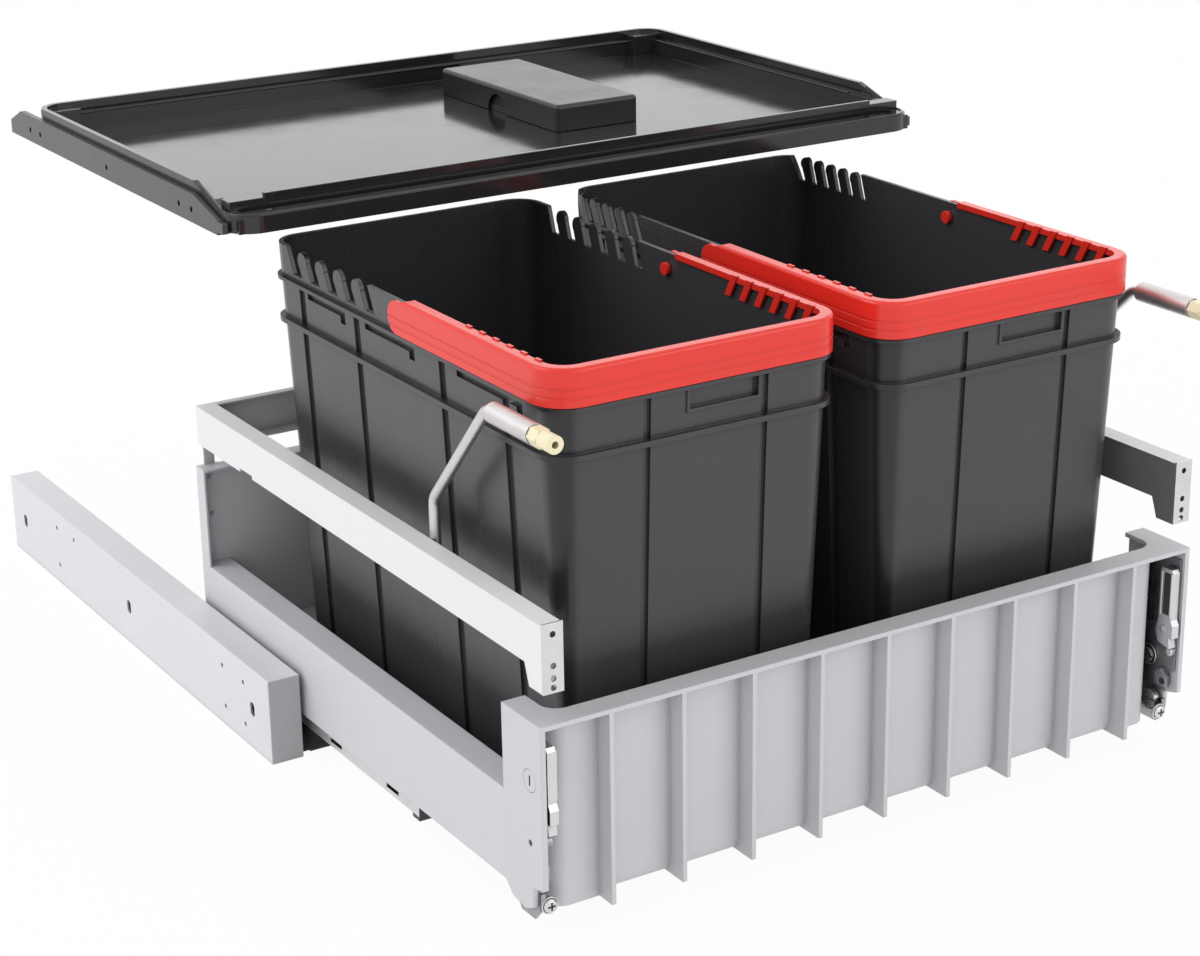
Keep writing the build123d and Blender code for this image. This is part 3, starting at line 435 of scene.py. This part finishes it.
def zinc_plate(name, colour, roughness, blush=(1.0, 1.0, 1.0)):
    """Bright plating with drag marks, dull patches, painted shade in its corners and painted highlights on
    its edges.
    """
    edge, highlight_tone, highlight_share = 0.3 * MM, 1.5, 0.8
    corner_shade_tone, corner_shade_share = 0.12, 0.8
    dull_tone, clean_tone, flake_tone, flake_share = 0.78, 1.08, 0.9, 0.5
    drag_relief, flake_relief, mark_depth = 0.6, 0.4, 0.03 * MM
    finish = Finish(name, Metallic=1.0)
    flakes = finish.cells(size=0.004)
    drag = finish.noise(size=0.0015, detail=3.0, roughness=0.6, stretch=DRAG_STRETCH)
    stain = finish.noise(size=0.02, detail=4.0, roughness=0.6)
    tint = tuple(c * b for c, b in zip(colour, blush))
    base = finish.mix(stain, shade(tint, dull_tone), shade(tint, clean_tone))
    base = finish.mix(flakes * flake_share, base, shade(tint, flake_tone))
    # Painted shade in the corners
    base = finish.painted_corner_shade(base, shade(tint, corner_shade_tone), reach=0.010, mask=(0.25, 0.95),
                               share=corner_shade_share)
    # Painted highlight along the edges
    finish.set(Base_Color=finish.painted_edge_highlight(base, shade(tint, highlight_tone), edge, highlight_share),
               Roughness=drag * DRAG_UNEVEN + stain * STAIN_UNEVEN + (roughness - ZINC_OFFSET),
               Normal=finish.relief(drag * drag_relief + flakes * flake_relief, mark_depth, edge))
    return finish


def carbon_fleece(name, colour):
    """Dull fibres that lie in small tufts."""
    shade_tone, tip_tone = 0.5, 1.8
    fibre_relief, tuft_relief, pile = 0.6, 0.4, 0.6 * MM
    finish = Finish(name, Metallic=0.0, Roughness=0.95, Specular_IOR_Level=0.2)
    fibres = finish.noise(size=0.0012, detail=6.0, roughness=0.75, stretch=FIBRE_STRETCH)
    tufts = finish.noise(size=0.005, detail=3.0)
    finish.set(Base_Color=finish.mix(fibres, shade(colour, shade_tone), shade(colour, tip_tone)),
               Normal=finish.relief(fibres * fibre_relief + tufts * tuft_relief, pile))
    return finish


# Sizes and colours that a user would change

def colour_of(name, about, value):
    """A colour setting."""
    return bpy.props.FloatVectorProperty(name=name, description=about, subtype="COLOR", size=3,
                                         min=0.0, max=1.0, default=value)


def power_of(name, about, value):
    """A lamp's power setting, in watts."""
    return bpy.props.FloatProperty(name=name, description=about, subtype="POWER", min=0.0, default=value)


class FinishSettings(bpy.types.PropertyGroup):
    """Colours of the pieces and the grain of their coats"""
    housing: colour_of("Rail housings", "Colour of the moulded rail housings", (0.70, 0.70, 0.73))
    frame: colour_of("Frame", "Powder coat of the side profiles and rear posts", (0.62, 0.62, 0.65))
    gallery: colour_of("Gallery", "Powder coat of the gallery rails", (0.80, 0.79, 0.81))
    # The gallery rails' inner faces take this colour as painted shade
    inner: colour_of("Gallery inside", "Coat of the gallery rails' inner faces", (0.16, 0.16, 0.17))
    rear: colour_of("Rear wall", "Powder coat of the rear wall and base", (0.58, 0.575, 0.60))
    front: colour_of("Front", "Colour of the ribbed front", (0.60, 0.595, 0.62))
    bracket: colour_of("Corner brackets", "Colour of the front corners", (0.60, 0.60, 0.63))
    runner: colour_of("Cabinet runners", "Coat of the cabinet runners", (0.03, 0.03, 0.033))
    zinc: colour_of("Zinc", "Plating of the runners, levers and screws", (0.72, 0.72, 0.73))
    gear: colour_of("Gear plates", "Plating of the fixing plates", (0.42, 0.42, 0.435))
    bins: colour_of("Bins", "Colour of the bins", (0.044, 0.042, 0.047))
    bands: colour_of("Clamp bands", "Colour of the clamp bands", (0.78, 0.032, 0.020))
    lid: colour_of("Lid", "Colour of the lid tray and the filter box", (0.020, 0.020, 0.023))
    strips: colour_of("Lid strips", "Colour of the strips beside the lid", (0.055, 0.055, 0.058))
    tips: colour_of("Stabiliser tips", "Colour of the stabiliser tips", (0.88, 0.80, 0.55))
    grain: bpy.props.FloatProperty(name="Coat grain", description="Size of the grain of the powder coat",
                                   unit="LENGTH", min=0.0001, default=0.0012)


class StageSettings(bpy.types.PropertyGroup):
    """Floor, sky and lamps"""
    floor: colour_of("Floor", "Colour of the studio floor", (0.92, 0.92, 0.92))
    floor_size: bpy.props.FloatProperty(name="Floor size", description="Side of the floor",
                                        unit="LENGTH", min=1.0, default=40.0)
    sky: bpy.props.FloatProperty(name="Sky", description="Level of the even light", min=0.0, default=0.82)
    floor_glow: bpy.props.FloatProperty(name="Floor glow",
                                        description="Share of plain white in the floor as seen",
                                        subtype="FACTOR", min=0.0, max=1.0, default=0.95)
    side: power_of("Side lamp", "Power of the lamp on the left", 30.0)
    front: power_of("Front lamp", "Power of the lamp in front", 17.0)
    back: power_of("Back lamp", "Power of the lamp behind that the lid mirrors", 11.0)


# Operators

class Dressing(bpy.types.Operator):
    """Shared part of the dressing operators"""
    bl_idname = "bin_frame.dressing"
    bl_label = "Dressing"
    bl_options = {"REGISTER", "UNDO"}

    def execute(self, context):
        self.make(context.scene.bin_frame_finish)
        return {"FINISHED"}

    def make(self, sizes):
        raise RuntimeError("each dressing makes its own pieces")


# Runner stops: a thin plate on the middle runner's front end and a block under it, in metres
STOP_PLATE = 0.5 * MM
STOP_DROP = 3.0 * MM
STOP_DEPTH = 9.0 * MM
STOP_EDGE = 0.4 * MM


class DressRails(Dressing):
    """Gives the rail housings and the runners their finish"""
    bl_idname = "bin_frame.dress_rails"
    bl_label = "Rails"

    def make(self, sizes):
        # The housings' front faces are darker: painted shade
        housing = moulded("housing", sizes.housing, grain=1.2 * MM, roughness=0.45, tone=0.02,
                          front_shade_tone=0.6)
        dress(housing, *both("rail_housing"))
        coat = powder_coat("runner_coat", sizes.runner, sizes.grain, tone=0.2, roughness=0.5)
        dress(coat, *both("cabinet_runner"))
        steel = zinc_plate("runner_zinc", sizes.zinc, roughness=0.4)
        dress(steel, *both("middle_runner", "drawer_runner", "lower_rollers", "upper_rollers"))
        dress(moulded("cage", sizes.runner, worn=2.0), *both("lower_cage", "upper_cage"))
        black = moulded("runner_stop", sizes.runner, worn=2.0)
        for side in SIDES:
            self.stop(side, black)

    def stop(self, side, black):
        """The dark stop at the front end of a middle runner."""
        low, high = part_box(f"{side}_middle_runner")
        foot = low.z - STOP_DROP
        build = bmesh.new()
        bar(build, Vector((low.x, low.y - STOP_PLATE, foot)), Vector((high.x, low.y, high.z - STOP_PLATE)))
        bar(build, Vector((low.x, low.y, foot)), Vector((high.x, low.y + STOP_DEPTH, low.z)))
        add_piece(f"{side}_runner_stop", build, f"{side}_middle_member", black,
                  edge=STOP_EDGE)


class DressFrame(Dressing):
    """Gives the side profiles, the posts, the rear wall and the base their coats"""
    bl_idname = "bin_frame.dress_frame"
    bl_label = "Frame"

    def make(self, sizes):
        dress(powder_coat("frame_coat", sizes.frame, sizes.grain), *both("side_profile", "rear_post"))
        dress(powder_coat("rear_coat", sizes.rear, sizes.grain), "rear_wall", "base_panel")
        middle = (cad_low.x + cad_high.x) / 2
        # Faces turned to the middle darken to the inner colour: painted shade
        rails = powder_coat("gallery_coat", sizes.gallery, sizes.grain, tone=0.02, inner=sizes.inner,
                            middle=middle)
        dress(rails, *both("gallery_rail"))
        dress(powder_coat("rear_gallery_coat", sizes.rear, sizes.grain, tone=0.02), "rear_gallery_rail")
        steel = zinc_plate("end_plate_zinc", sizes.zinc, roughness=0.38)
        dress(steel, "rear_screws", *both("gallery_end_plate"))


class DressFront(Dressing):
    """Gives the ribbed front and its corner brackets their finish"""
    bl_idname = "bin_frame.dress_front"
    bl_label = "Front"

    def make(self, sizes):
        ribbed = moulded("front_plastic", sizes.front, grain=1.5 * MM, roughness=0.42, tone=0.03)
        dress(ribbed, "front_panel")
        corners = moulded("bracket_plastic", sizes.bracket, grain=1.2 * MM, roughness=0.42, tone=0.02)
        dress(corners, *both("front_bracket"))


# Fixing plate: its thickness in metres, and rises from its inner face in millimetres
PLATE_THICK = 1.5 * MM
# The windows are filled with black blocks up to these rises: painted shade
WINDOW_SHADE_BACK, WINDOW_SHADE_FACE, WINDOW_BAR_FACE = -1.4, -0.9, -0.4
# Places on it, as shares of its depth and of its height
WINDOW_DEPTHS = (0.635, 0.88)
WINDOW_BAR_DEPTHS = (0.74, 0.78)
WINDOW_HEIGHTS = ((0.592, 0.695), (0.738, 0.820))
# Places as a rise in millimetres, then shares of its depth and of its height
PLUG_PLACE = (3.5, 0.22, 0.27)
RIVET_PLACE = (2.5, 0.105, 0.458)
# Turned pieces, as radius and height in millimetres
PLUG = ((2.4, 0.0), (2.4, 0.3), (1.6, 0.5))
RIVET = ((3.6, 0.0), (3.4, 0.7), (2.4, 1.3), (0.8, 1.6))
SCREW_HEAD = ((4.6, 0.0), (4.6, 0.8), (3.6, 1.9), (1.6, 2.4))
TAB_DISC = ((5.9, 0.0), (5.9, 1.5))
LEVER_PIVOT = ((3.2, -0.1), (3.0, 0.6), (1.8, 1.2))
# Rings and a curl in metres, each with its own radius and its wire's, and angles in degrees
CAM_RING, CAM_RING_WIRE, CAM_RING_RISE = 7.2 * MM, 0.7 * MM, 0.5 * MM
TILT_CURL, TILT_CURL_WIRE = 8.7 * MM, 1.1 * MM
TILT_CURL_ANGLES = (215, 350)
HEAD_RING, HEAD_RING_WIRE = 5.3 * MM, 0.5 * MM
# Front tab with its screw, in millimetres
TAB_BACK, TAB_THICK = 9.0, 1.6
HEAD_INWARD, HEAD_HEIGHT = 4.6, 11.0
STEM_REACH = (1.6, 0.8, 5.5)
STEM_BACK, STEM_OUTWARD, STEM_RISE = 0.8, 4.2, 3.0
RECESS_FORWARD, RECESS_DEPTH = 2.3, 0.25
RECESS_LONG, RECESS_WIDE = 2.6, 0.6
# Lever: places of ridges, pivot and slot as shares of its depth and height, rises and wires in metres
RIDGE_DEPTHS = (0.17, 0.72)
RIDGE_FOOT, RIDGE_LENGTH = 0.40, 0.56
RIDGE_RISE, RIDGE_WIRE = 0.2 * MM, 0.9 * MM
PIVOT_DEPTH, PIVOT_HEIGHT = 0.50, 0.228
SLOT_DEPTH, SLOT_HEIGHT = 0.27, 0.42
SLOT_WIDE, SLOT_LONG, SLOT_RISE = 0.34, 0.53, 0.25 * MM
# Widths of the rounded edges, in metres
FINE_EDGE, TRIM_EDGE, TAB_EDGE = 0.1 * MM, 0.2 * MM, 0.3 * MM


class DressGear(Dressing):
    """Gives the fixing gear its plating, black blocks of painted shade in its windows, slot and screw
    recess, and its small turned pieces
    """
    bl_idname = "bin_frame.dress_gear"
    bl_label = "Fixing gear"

    def make(self, sizes):
        dark = zinc_plate("plate_zinc", sizes.gear, roughness=0.40)
        dress(dark, *both("fixing_plate"))
        bright = zinc_plate("gear_zinc", sizes.zinc, roughness=0.30)
        dress(bright, *both("fixing_lever", "height_cam", "tilt_cam", "side_adjuster"))
        black = powder_coat("gear_black", sizes.runner, sizes.grain, tone=0.2, roughness=0.6)
        for side, inward in zip(SIDES, (ACROSS, -ACROSS)):
            self.plate_trim(side, inward, bright, dark, black)
            self.lever_trim(side, inward, bright, black)

    def plate_trim(self, side, inward, bright, dark, black):
        """Black blocks of painted shade in the windows, a ringed cam, a curl, a rivet and the front tab
        with its screw, whose recess is painted shade.
        """
        low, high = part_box(f"{side}_fixing_plate")
        face = (low.x if side == "left" else high.x) + inward.x * PLATE_THICK
        depth, height = high.y - low.y, high.z - low.z

        def place(rise, y_share, z_share):
            return Vector((face, low.y + y_share * depth, low.z + z_share * height)) + inward * rise * MM

        build = bmesh.new()
        near, far = WINDOW_DEPTHS
        bar_near, bar_far = WINDOW_BAR_DEPTHS
        # Black blocks of painted shade fill the windows
        for bottom, top in WINDOW_HEIGHTS:
            bar(build, place(WINDOW_SHADE_BACK, near, bottom), place(WINDOW_SHADE_FACE, far, top))
            bar(build, place(WINDOW_SHADE_FACE, bar_near, bottom), place(WINDOW_BAR_FACE, bar_far, top))
        turned(build, PLUG, place(*PLUG_PLACE), inward)
        add_piece(f"{side}_gear_window_shade_and_plug", build, "frame", black, edge=FINE_EDGE)

        build = bmesh.new()
        cam = centre_of(f"{side}_height_cam")
        cam.x = face + inward.x * CAM_RING_RISE
        tube(build, arc(cam, BACK, UP, CAM_RING, *FULL_RING), CAM_RING_WIRE, inward, closed=True)
        cam = centre_of(f"{side}_tilt_cam")
        tube(build, arc(cam, BACK, UP, TILT_CURL, *TILT_CURL_ANGLES), TILT_CURL_WIRE, inward)
        turned(build, RIVET, place(*RIVET_PLACE), inward)
        front = low.y + TAB_BACK * MM
        head = Vector((face + inward.x * HEAD_INWARD * MM, front - TAB_THICK * MM,
                       low.z + HEAD_HEIGHT * MM))
        turned(build, SCREW_HEAD, head, -BACK)
        tube(build, arc(head, inward, UP, HEAD_RING, *FULL_RING), HEAD_RING_WIRE, BACK, closed=True)
        add_piece(f"{side}_gear_trim", build, "frame", bright, edge=TRIM_EDGE)

        build = bmesh.new()
        turned(build, TAB_DISC, head + BACK * TAB_THICK * MM, -BACK)
        stem = head + BACK * STEM_BACK * MM - inward * STEM_OUTWARD * MM + UP * STEM_RISE * MM
        block(build, stem, STEM_REACH)
        add_piece(f"{side}_gear_tab", build, "frame", dark, edge=TAB_EDGE)

        # A black cross on the screw's head stands for its recess: painted shade
        build = bmesh.new()
        head.y -= RECESS_FORWARD * MM
        for width, rise in ((RECESS_LONG, RECESS_WIDE), (RECESS_WIDE, RECESS_LONG)):
            block(build, head, (width, RECESS_DEPTH, rise))
        add_piece(f"{side}_screw_recess_shade", build, "frame", black, edge=FINE_EDGE)

    def lever_trim(self, side, inward, bright, black):
        """Two ridges, the pivot's head, and a black bar of painted shade in the slot of a lever."""
        low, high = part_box(f"{side}_fixing_lever")
        top = high.x if side == "left" else low.x
        depth, height = high.y - low.y, high.z - low.z

        def place(rise, y_share, z_share):
            return Vector((top + inward.x * rise, low.y + y_share * depth, low.z + z_share * height))

        build = bmesh.new()
        for share in RIDGE_DEPTHS:
            foot = place(RIDGE_RISE, share, RIDGE_FOOT)
            tube(build, [foot, foot + UP * RIDGE_LENGTH * height], RIDGE_WIRE, BACK)
        turned(build, LEVER_PIVOT, place(0.0, PIVOT_DEPTH, PIVOT_HEIGHT), inward)
        add_piece(f"{side}_lever_ridges", build, f"{side}_lever", bright, edge=FINE_EDGE)

        # A black bar in the slot: painted shade
        build = bmesh.new()
        foot = place(0.0, SLOT_DEPTH, SLOT_HEIGHT)
        ends = (foot, foot + Vector((inward.x * SLOT_RISE, SLOT_WIDE * depth, SLOT_LONG * height)))
        bar(build, Vector([min(pair) for pair in zip(*ends)]), Vector([max(pair) for pair in zip(*ends)]))
        add_piece(f"{side}_lever_slot_shade", build, f"{side}_lever", black, edge=FINE_EDGE)


class DressStabilisers(Dressing):
    """Gives the stabiliser rods, sleeves and tips their finish"""
    bl_idname = "bin_frame.dress_stabilisers"
    bl_label = "Stabilisers"

    def make(self, sizes):
        dress(zinc_plate("rod_zinc", sizes.zinc, roughness=0.36), *both("stabiliser_rod"))
        sleeve = zinc_plate("sleeve_plate", sizes.zinc, roughness=0.46, blush=(1.02, 0.98, 0.96))
        dress(sleeve, *both("stabiliser_sleeve"))
        nylon = moulded("tip_nylon", sizes.tips, grain=1.0 * MM, roughness=0.35, tone=0.04)
        dress(nylon, *both("stabiliser_tip"))


class DressBins(Dressing):
    """Gives the bins their black moulded finish"""
    bl_idname = "bin_frame.dress_bins"
    bl_label = "Bins"

    def make(self, sizes):
        # The bins' outer upright bends carry a painted dark reflection, and their corners strong painted
        # shade
        plastic = moulded("bin_plastic", sizes.bins, grain=1.0 * MM, roughness=0.30, tone=0.08,
                          edge=0.8 * MM, depth=0.015 * MM, worn=1.15, corner=0.9, bend_reflection_share=0.85)
        dress(plastic, *both("bin"))


class DressBands(Dressing):
    """Gives the clamp bands and their pins their red finish"""
    bl_idname = "bin_frame.dress_bands"
    bl_label = "Clamp bands"

    def make(self, sizes):
        plastic = moulded("band_plastic", sizes.bands, grain=2.0 * MM, roughness=0.24,
                          depth=0.015 * MM, corner=0.3, highlight_tone=1.1)
        dress(plastic, *both("clamp_band", "band_pins"))


# Lid tray, in metres: the front lip lies this far below the rim's top
LIP_DROP = 13.0 * MM
# Bead round the rim, and its slope as distances from the front and rises over the lip
RIM_INSET, RIM_BEND, RIM_BEAD = 2.0 * MM, 18.0 * MM, 1.1 * MM
RIM_SLOPE = ((58.0 * MM, 10.5 * MM), (24.0 * MM, 0.0))
# Ridge along the lip
LIP_RIDGE_INSET, LIP_RIDGE_BACK = 42.0 * MM, 11.0 * MM
LIP_RIDGE_DROP, LIP_RIDGE_BEAD = 1.2 * MM, 1.0 * MM
# Bead along the shelf behind
SHELF_DROP, SHELF_INSET, SHELF_FRONT = 8.0 * MM, 10.0 * MM, 70.0 * MM
SHELF_CORNER, SHELF_BEAD = 10.0 * MM, 0.8 * MM
# Fillers between the corner blocks and the front fence; they reach so many millimetres each way
FILLER_INSET, FILLER_BACK, FILLER_DROP = 32.7 * MM, 19.5 * MM, 8.7 * MM
FILLER_REACH = (3.3, 1.45, 5.6)
# Dark pockets at the lip's ends
POCKET_OUT, POCKET_BACK, POCKET_DROP = 256.0 * MM, 8.0 * MM, 1.3 * MM
POCKET_LENGTH, POCKET_RADIUS, POCKET_EDGE = 16.0 * MM, 1.6 * MM, 0.3 * MM


class DressLid(Dressing):
    """Gives the lid tray, its strips and the filter box their finish"""
    bl_idname = "bin_frame.dress_lid"
    bl_label = "Lid"

    def make(self, sizes):
        gloss = moulded("lid_plastic", sizes.lid, grain=3.0 * MM, roughness=0.14, tone=0.15,
                        edge=0.8 * MM, depth=0.008 * MM, worn=1.5)
        dress(gloss, "lid_tray")
        self.beads(gloss)
        self.pockets(moulded("lid_pocket", sizes.lid, roughness=0.6))
        # The strips' edges carry a strong painted highlight
        strip = moulded("strip_plastic", sizes.strips, grain=1.0 * MM, roughness=0.32, tone=0.1,
                        highlight_tone=6.0)
        dress(strip, *both("lid_strip"))
        box = moulded("filter_plastic", sizes.lid, grain=1.0 * MM, roughness=0.34, tone=0.1)
        dress(box, "filter_frame", "filter_cover")
        dress(carbon_fleece("carbon_fleece", sizes.runner), "filter_pad")

    def beads(self, gloss):
        """Beads along the tray's rim, its front lip and its shelf, and the fillers beside the fence."""
        low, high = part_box("lid_tray")
        middle = (low.x + high.x) / 2
        lip = high.z - LIP_DROP
        build = bmesh.new()

        corner = Vector((low.x + RIM_INSET + RIM_BEND, low.y + RIM_INSET + RIM_BEND, lip))
        rim = [Vector((low.x + RIM_INSET, low.y + back, lip + rise)) for back, rise in RIM_SLOPE]
        rim += arc(corner, -ACROSS, -BACK, RIM_BEND, 0, 90)
        tube(build, mirrored(rim, middle), RIM_BEAD, UP)

        ridge = [Vector((low.x + LIP_RIDGE_INSET, low.y + LIP_RIDGE_BACK, lip - LIP_RIDGE_DROP))]
        tube(build, mirrored(ridge, middle), LIP_RIDGE_BEAD, UP)

        side, rear, top = low.x + SHELF_INSET, high.y - SHELF_INSET, high.z - SHELF_DROP
        shelf = [Vector((side, low.y + SHELF_FRONT, top)), Vector((side, rear - SHELF_CORNER, top)),
                 Vector((side + SHELF_CORNER, rear, top))]
        tube(build, mirrored(shelf, middle), SHELF_BEAD, UP)

        for x in (low.x + FILLER_INSET, high.x - FILLER_INSET):
            block(build, Vector((x, low.y + FILLER_BACK, high.z - FILLER_DROP)), FILLER_REACH)
        add_piece("lid_beads", build, "lid", gloss)

    def pockets(self, black):
        """The dark pockets at the ends of the tray's front lip."""
        low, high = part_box("lid_tray")
        middle = (low.x + high.x) / 2
        height = high.z - LIP_DROP - POCKET_DROP
        build = bmesh.new()
        for side in (-1.0, 1.0):
            start = Vector((middle + side * POCKET_OUT, low.y + POCKET_BACK, height))
            tube(build, [start, start - ACROSS * side * POCKET_LENGTH], POCKET_RADIUS, UP)
        add_piece("lid_pockets", build, "lid", black, edge=POCKET_EDGE)


# Camera: place and reach in metres, angles in radians, lens and sensor in millimetres
CAMERA_PLACE = (-0.6615, -1.7567, 0.7672)
CAMERA_HEADING = -0.553
CAMERA_PITCH = -0.3483
CAMERA_ROLL = -0.0157
CAMERA_LENS = 78.6
CAMERA_SENSOR = 36.0
CAMERA_REACH = 100.0
# Lamps: the side of each square and its place from the object's middle, in metres
SIDE_LAMP = (2.2, (-2.3, 0.8, 1.9))
FRONT_LAMP = (2.0, (1.1, -2.8, 1.0))
BACK_LAMP = (2.6, (1.9, 2.9, 1.5))
# Floor: squares along each side, and the size and depth of its faint drift of tone
FLOOR_SQUARES = 4
FLOOR_DRIFT, FLOOR_TONE = 0.8, 0.995
WHITE = (1.0, 1.0, 1.0, 1.0)


def aim(camera, heading, pitch, roll):
    """Turns a camera to a heading from +Y, a pitch above level and a roll."""
    forward = Vector((-math.sin(heading) * math.cos(pitch), math.cos(heading) * math.cos(pitch),
                      math.sin(pitch)))
    level = Vector((math.cos(heading), math.sin(heading), 0.0))
    above = level.cross(forward)
    side = level * math.cos(roll) + above * math.sin(roll)
    top = above * math.cos(roll) - level * math.sin(roll)
    turn = Matrix((side, top, -forward)).transposed().to_4x4()
    camera.matrix_world = Matrix.Translation(camera.location) @ turn


def lamp(name, power, size, place, target):
    """A square lamp that shines from a place at a target."""
    light = bpy.data.lights.new(name, "AREA")
    light.energy = power
    light.shape = "SQUARE"
    light.size = size
    holder = bpy.data.objects.new(name, light)
    bpy.context.scene.collection.objects.link(holder)
    holder.location = place
    holder.rotation_euler = (target - place).to_track_quat("-Z", "Y").to_euler()


class BuildStage(bpy.types.Operator):
    """Sets the pale floor, the soft lamps and the camera"""
    bl_idname = "bin_frame.build_stage"
    bl_label = "Stage"
    bl_options = {"REGISTER", "UNDO"}

    def execute(self, context):
        sizes = context.scene.bin_frame_stage
        middle = (cad_low + cad_high) / 2
        self.floor(sizes, middle)
        self.sky(context.scene, sizes)
        for name, power, (size, offset) in (("side_lamp", sizes.side, SIDE_LAMP),
                                            ("front_lamp", sizes.front, FRONT_LAMP),
                                            ("back_lamp", sizes.back, BACK_LAMP)):
            lamp(name, power, size, middle + Vector(offset), middle)
        self.camera(context.scene)
        context.scene.view_settings.view_transform = "Standard"
        return {"FINISHED"}

    def floor(self, sizes, middle):
        """A flat floor under the object that looks almost plain white."""
        build = bmesh.new()
        bmesh.ops.create_grid(build, x_segments=FLOOR_SQUARES, y_segments=FLOOR_SQUARES,
                              size=sizes.floor_size / 2)
        piece = placed("floor", build)
        piece.location = (middle.x, middle.y, cad_low.z)
        paint = Finish("floor_paint", Roughness=0.9, Specular_IOR_Level=0.1)
        drift = paint.noise(size=FLOOR_DRIFT)
        paint.set(Base_Color=paint.mix(drift, shade(sizes.floor, FLOOR_TONE), shade(sizes.floor, 1.0)))
        glow = paint.node("ShaderNodeEmission", {}, {"Strength": 1.0})
        lit = paint.node("ShaderNodeMixShader", {},
                         {0: paint.seen() * sizes.floor_glow, 1: paint.surface, 2: glow})
        paint.tree.links.new(lit.socket, paint.output.inputs["Surface"])
        piece.data.materials.append(paint.material)

    def sky(self, scene, sizes):
        """An even white sky, at full level as seen and at its own level as light."""
        world = bpy.data.worlds.new("studio")
        scene.world = world
        world.use_nodes = True
        studio = Tree(world.node_tree)
        level = studio.seen() * (1.0 - sizes.sky) + sizes.sky
        light = studio.node("ShaderNodeBackground", {}, {"Color": WHITE, "Strength": level})
        studio.node("ShaderNodeOutputWorld", {}, {"Surface": light})

    def camera(self, scene):
        """The camera, in front of the object and to its left."""
        data = bpy.data.cameras.new("camera")
        data.sensor_width = CAMERA_SENSOR
        data.lens = CAMERA_LENS
        data.clip_end = CAMERA_REACH
        camera = bpy.data.objects.new("camera", data)
        scene.collection.objects.link(camera)
        camera.location = CAMERA_PLACE
        aim(camera, CAMERA_HEADING, CAMERA_PITCH, CAMERA_ROLL)
        scene.camera = camera


DRESSINGS = (DressRails, DressFrame, DressFront, DressGear,
             DressStabilisers, DressBins, DressBands, DressLid)


class BinFramePanel(bpy.types.Panel):
    """Lists the finishes and the operators of the bin frame"""
    bl_idname = "VIEW3D_PT_bin_frame"
    bl_label = "Bin Frame"
    bl_space_type = "VIEW_3D"
    bl_region_type = "UI"
    bl_category = "Bin Frame"

    def draw(self, context):
        layout = self.layout
        for group in (context.scene.bin_frame_finish, context.scene.bin_frame_stage):
            for name in group.bl_rna.properties.keys():
                if name not in ("rna_type", "name"):
                    layout.prop(group, name)
        for operator in (*DRESSINGS, BuildStage):
            layout.operator(operator.bl_idname)


CLASSES = (FinishSettings, StageSettings, *DRESSINGS, BuildStage, BinFramePanel)


def register():
    for item in CLASSES:
        bpy.utils.register_class(item)
    bpy.types.Scene.bin_frame_finish = bpy.props.PointerProperty(type=FinishSettings)
    bpy.types.Scene.bin_frame_stage = bpy.props.PointerProperty(type=StageSettings)


def unregister():
    del bpy.types.Scene.bin_frame_stage
    del bpy.types.Scene.bin_frame_finish
    for item in reversed(CLASSES):
        bpy.utils.unregister_class(item)


def main():
    register()
    for operator in (*DRESSINGS, BuildStage):
        group, name = operator.bl_idname.split(".")
        getattr(getattr(bpy.ops, group), name)()


if __name__ == "__main__":
    main()
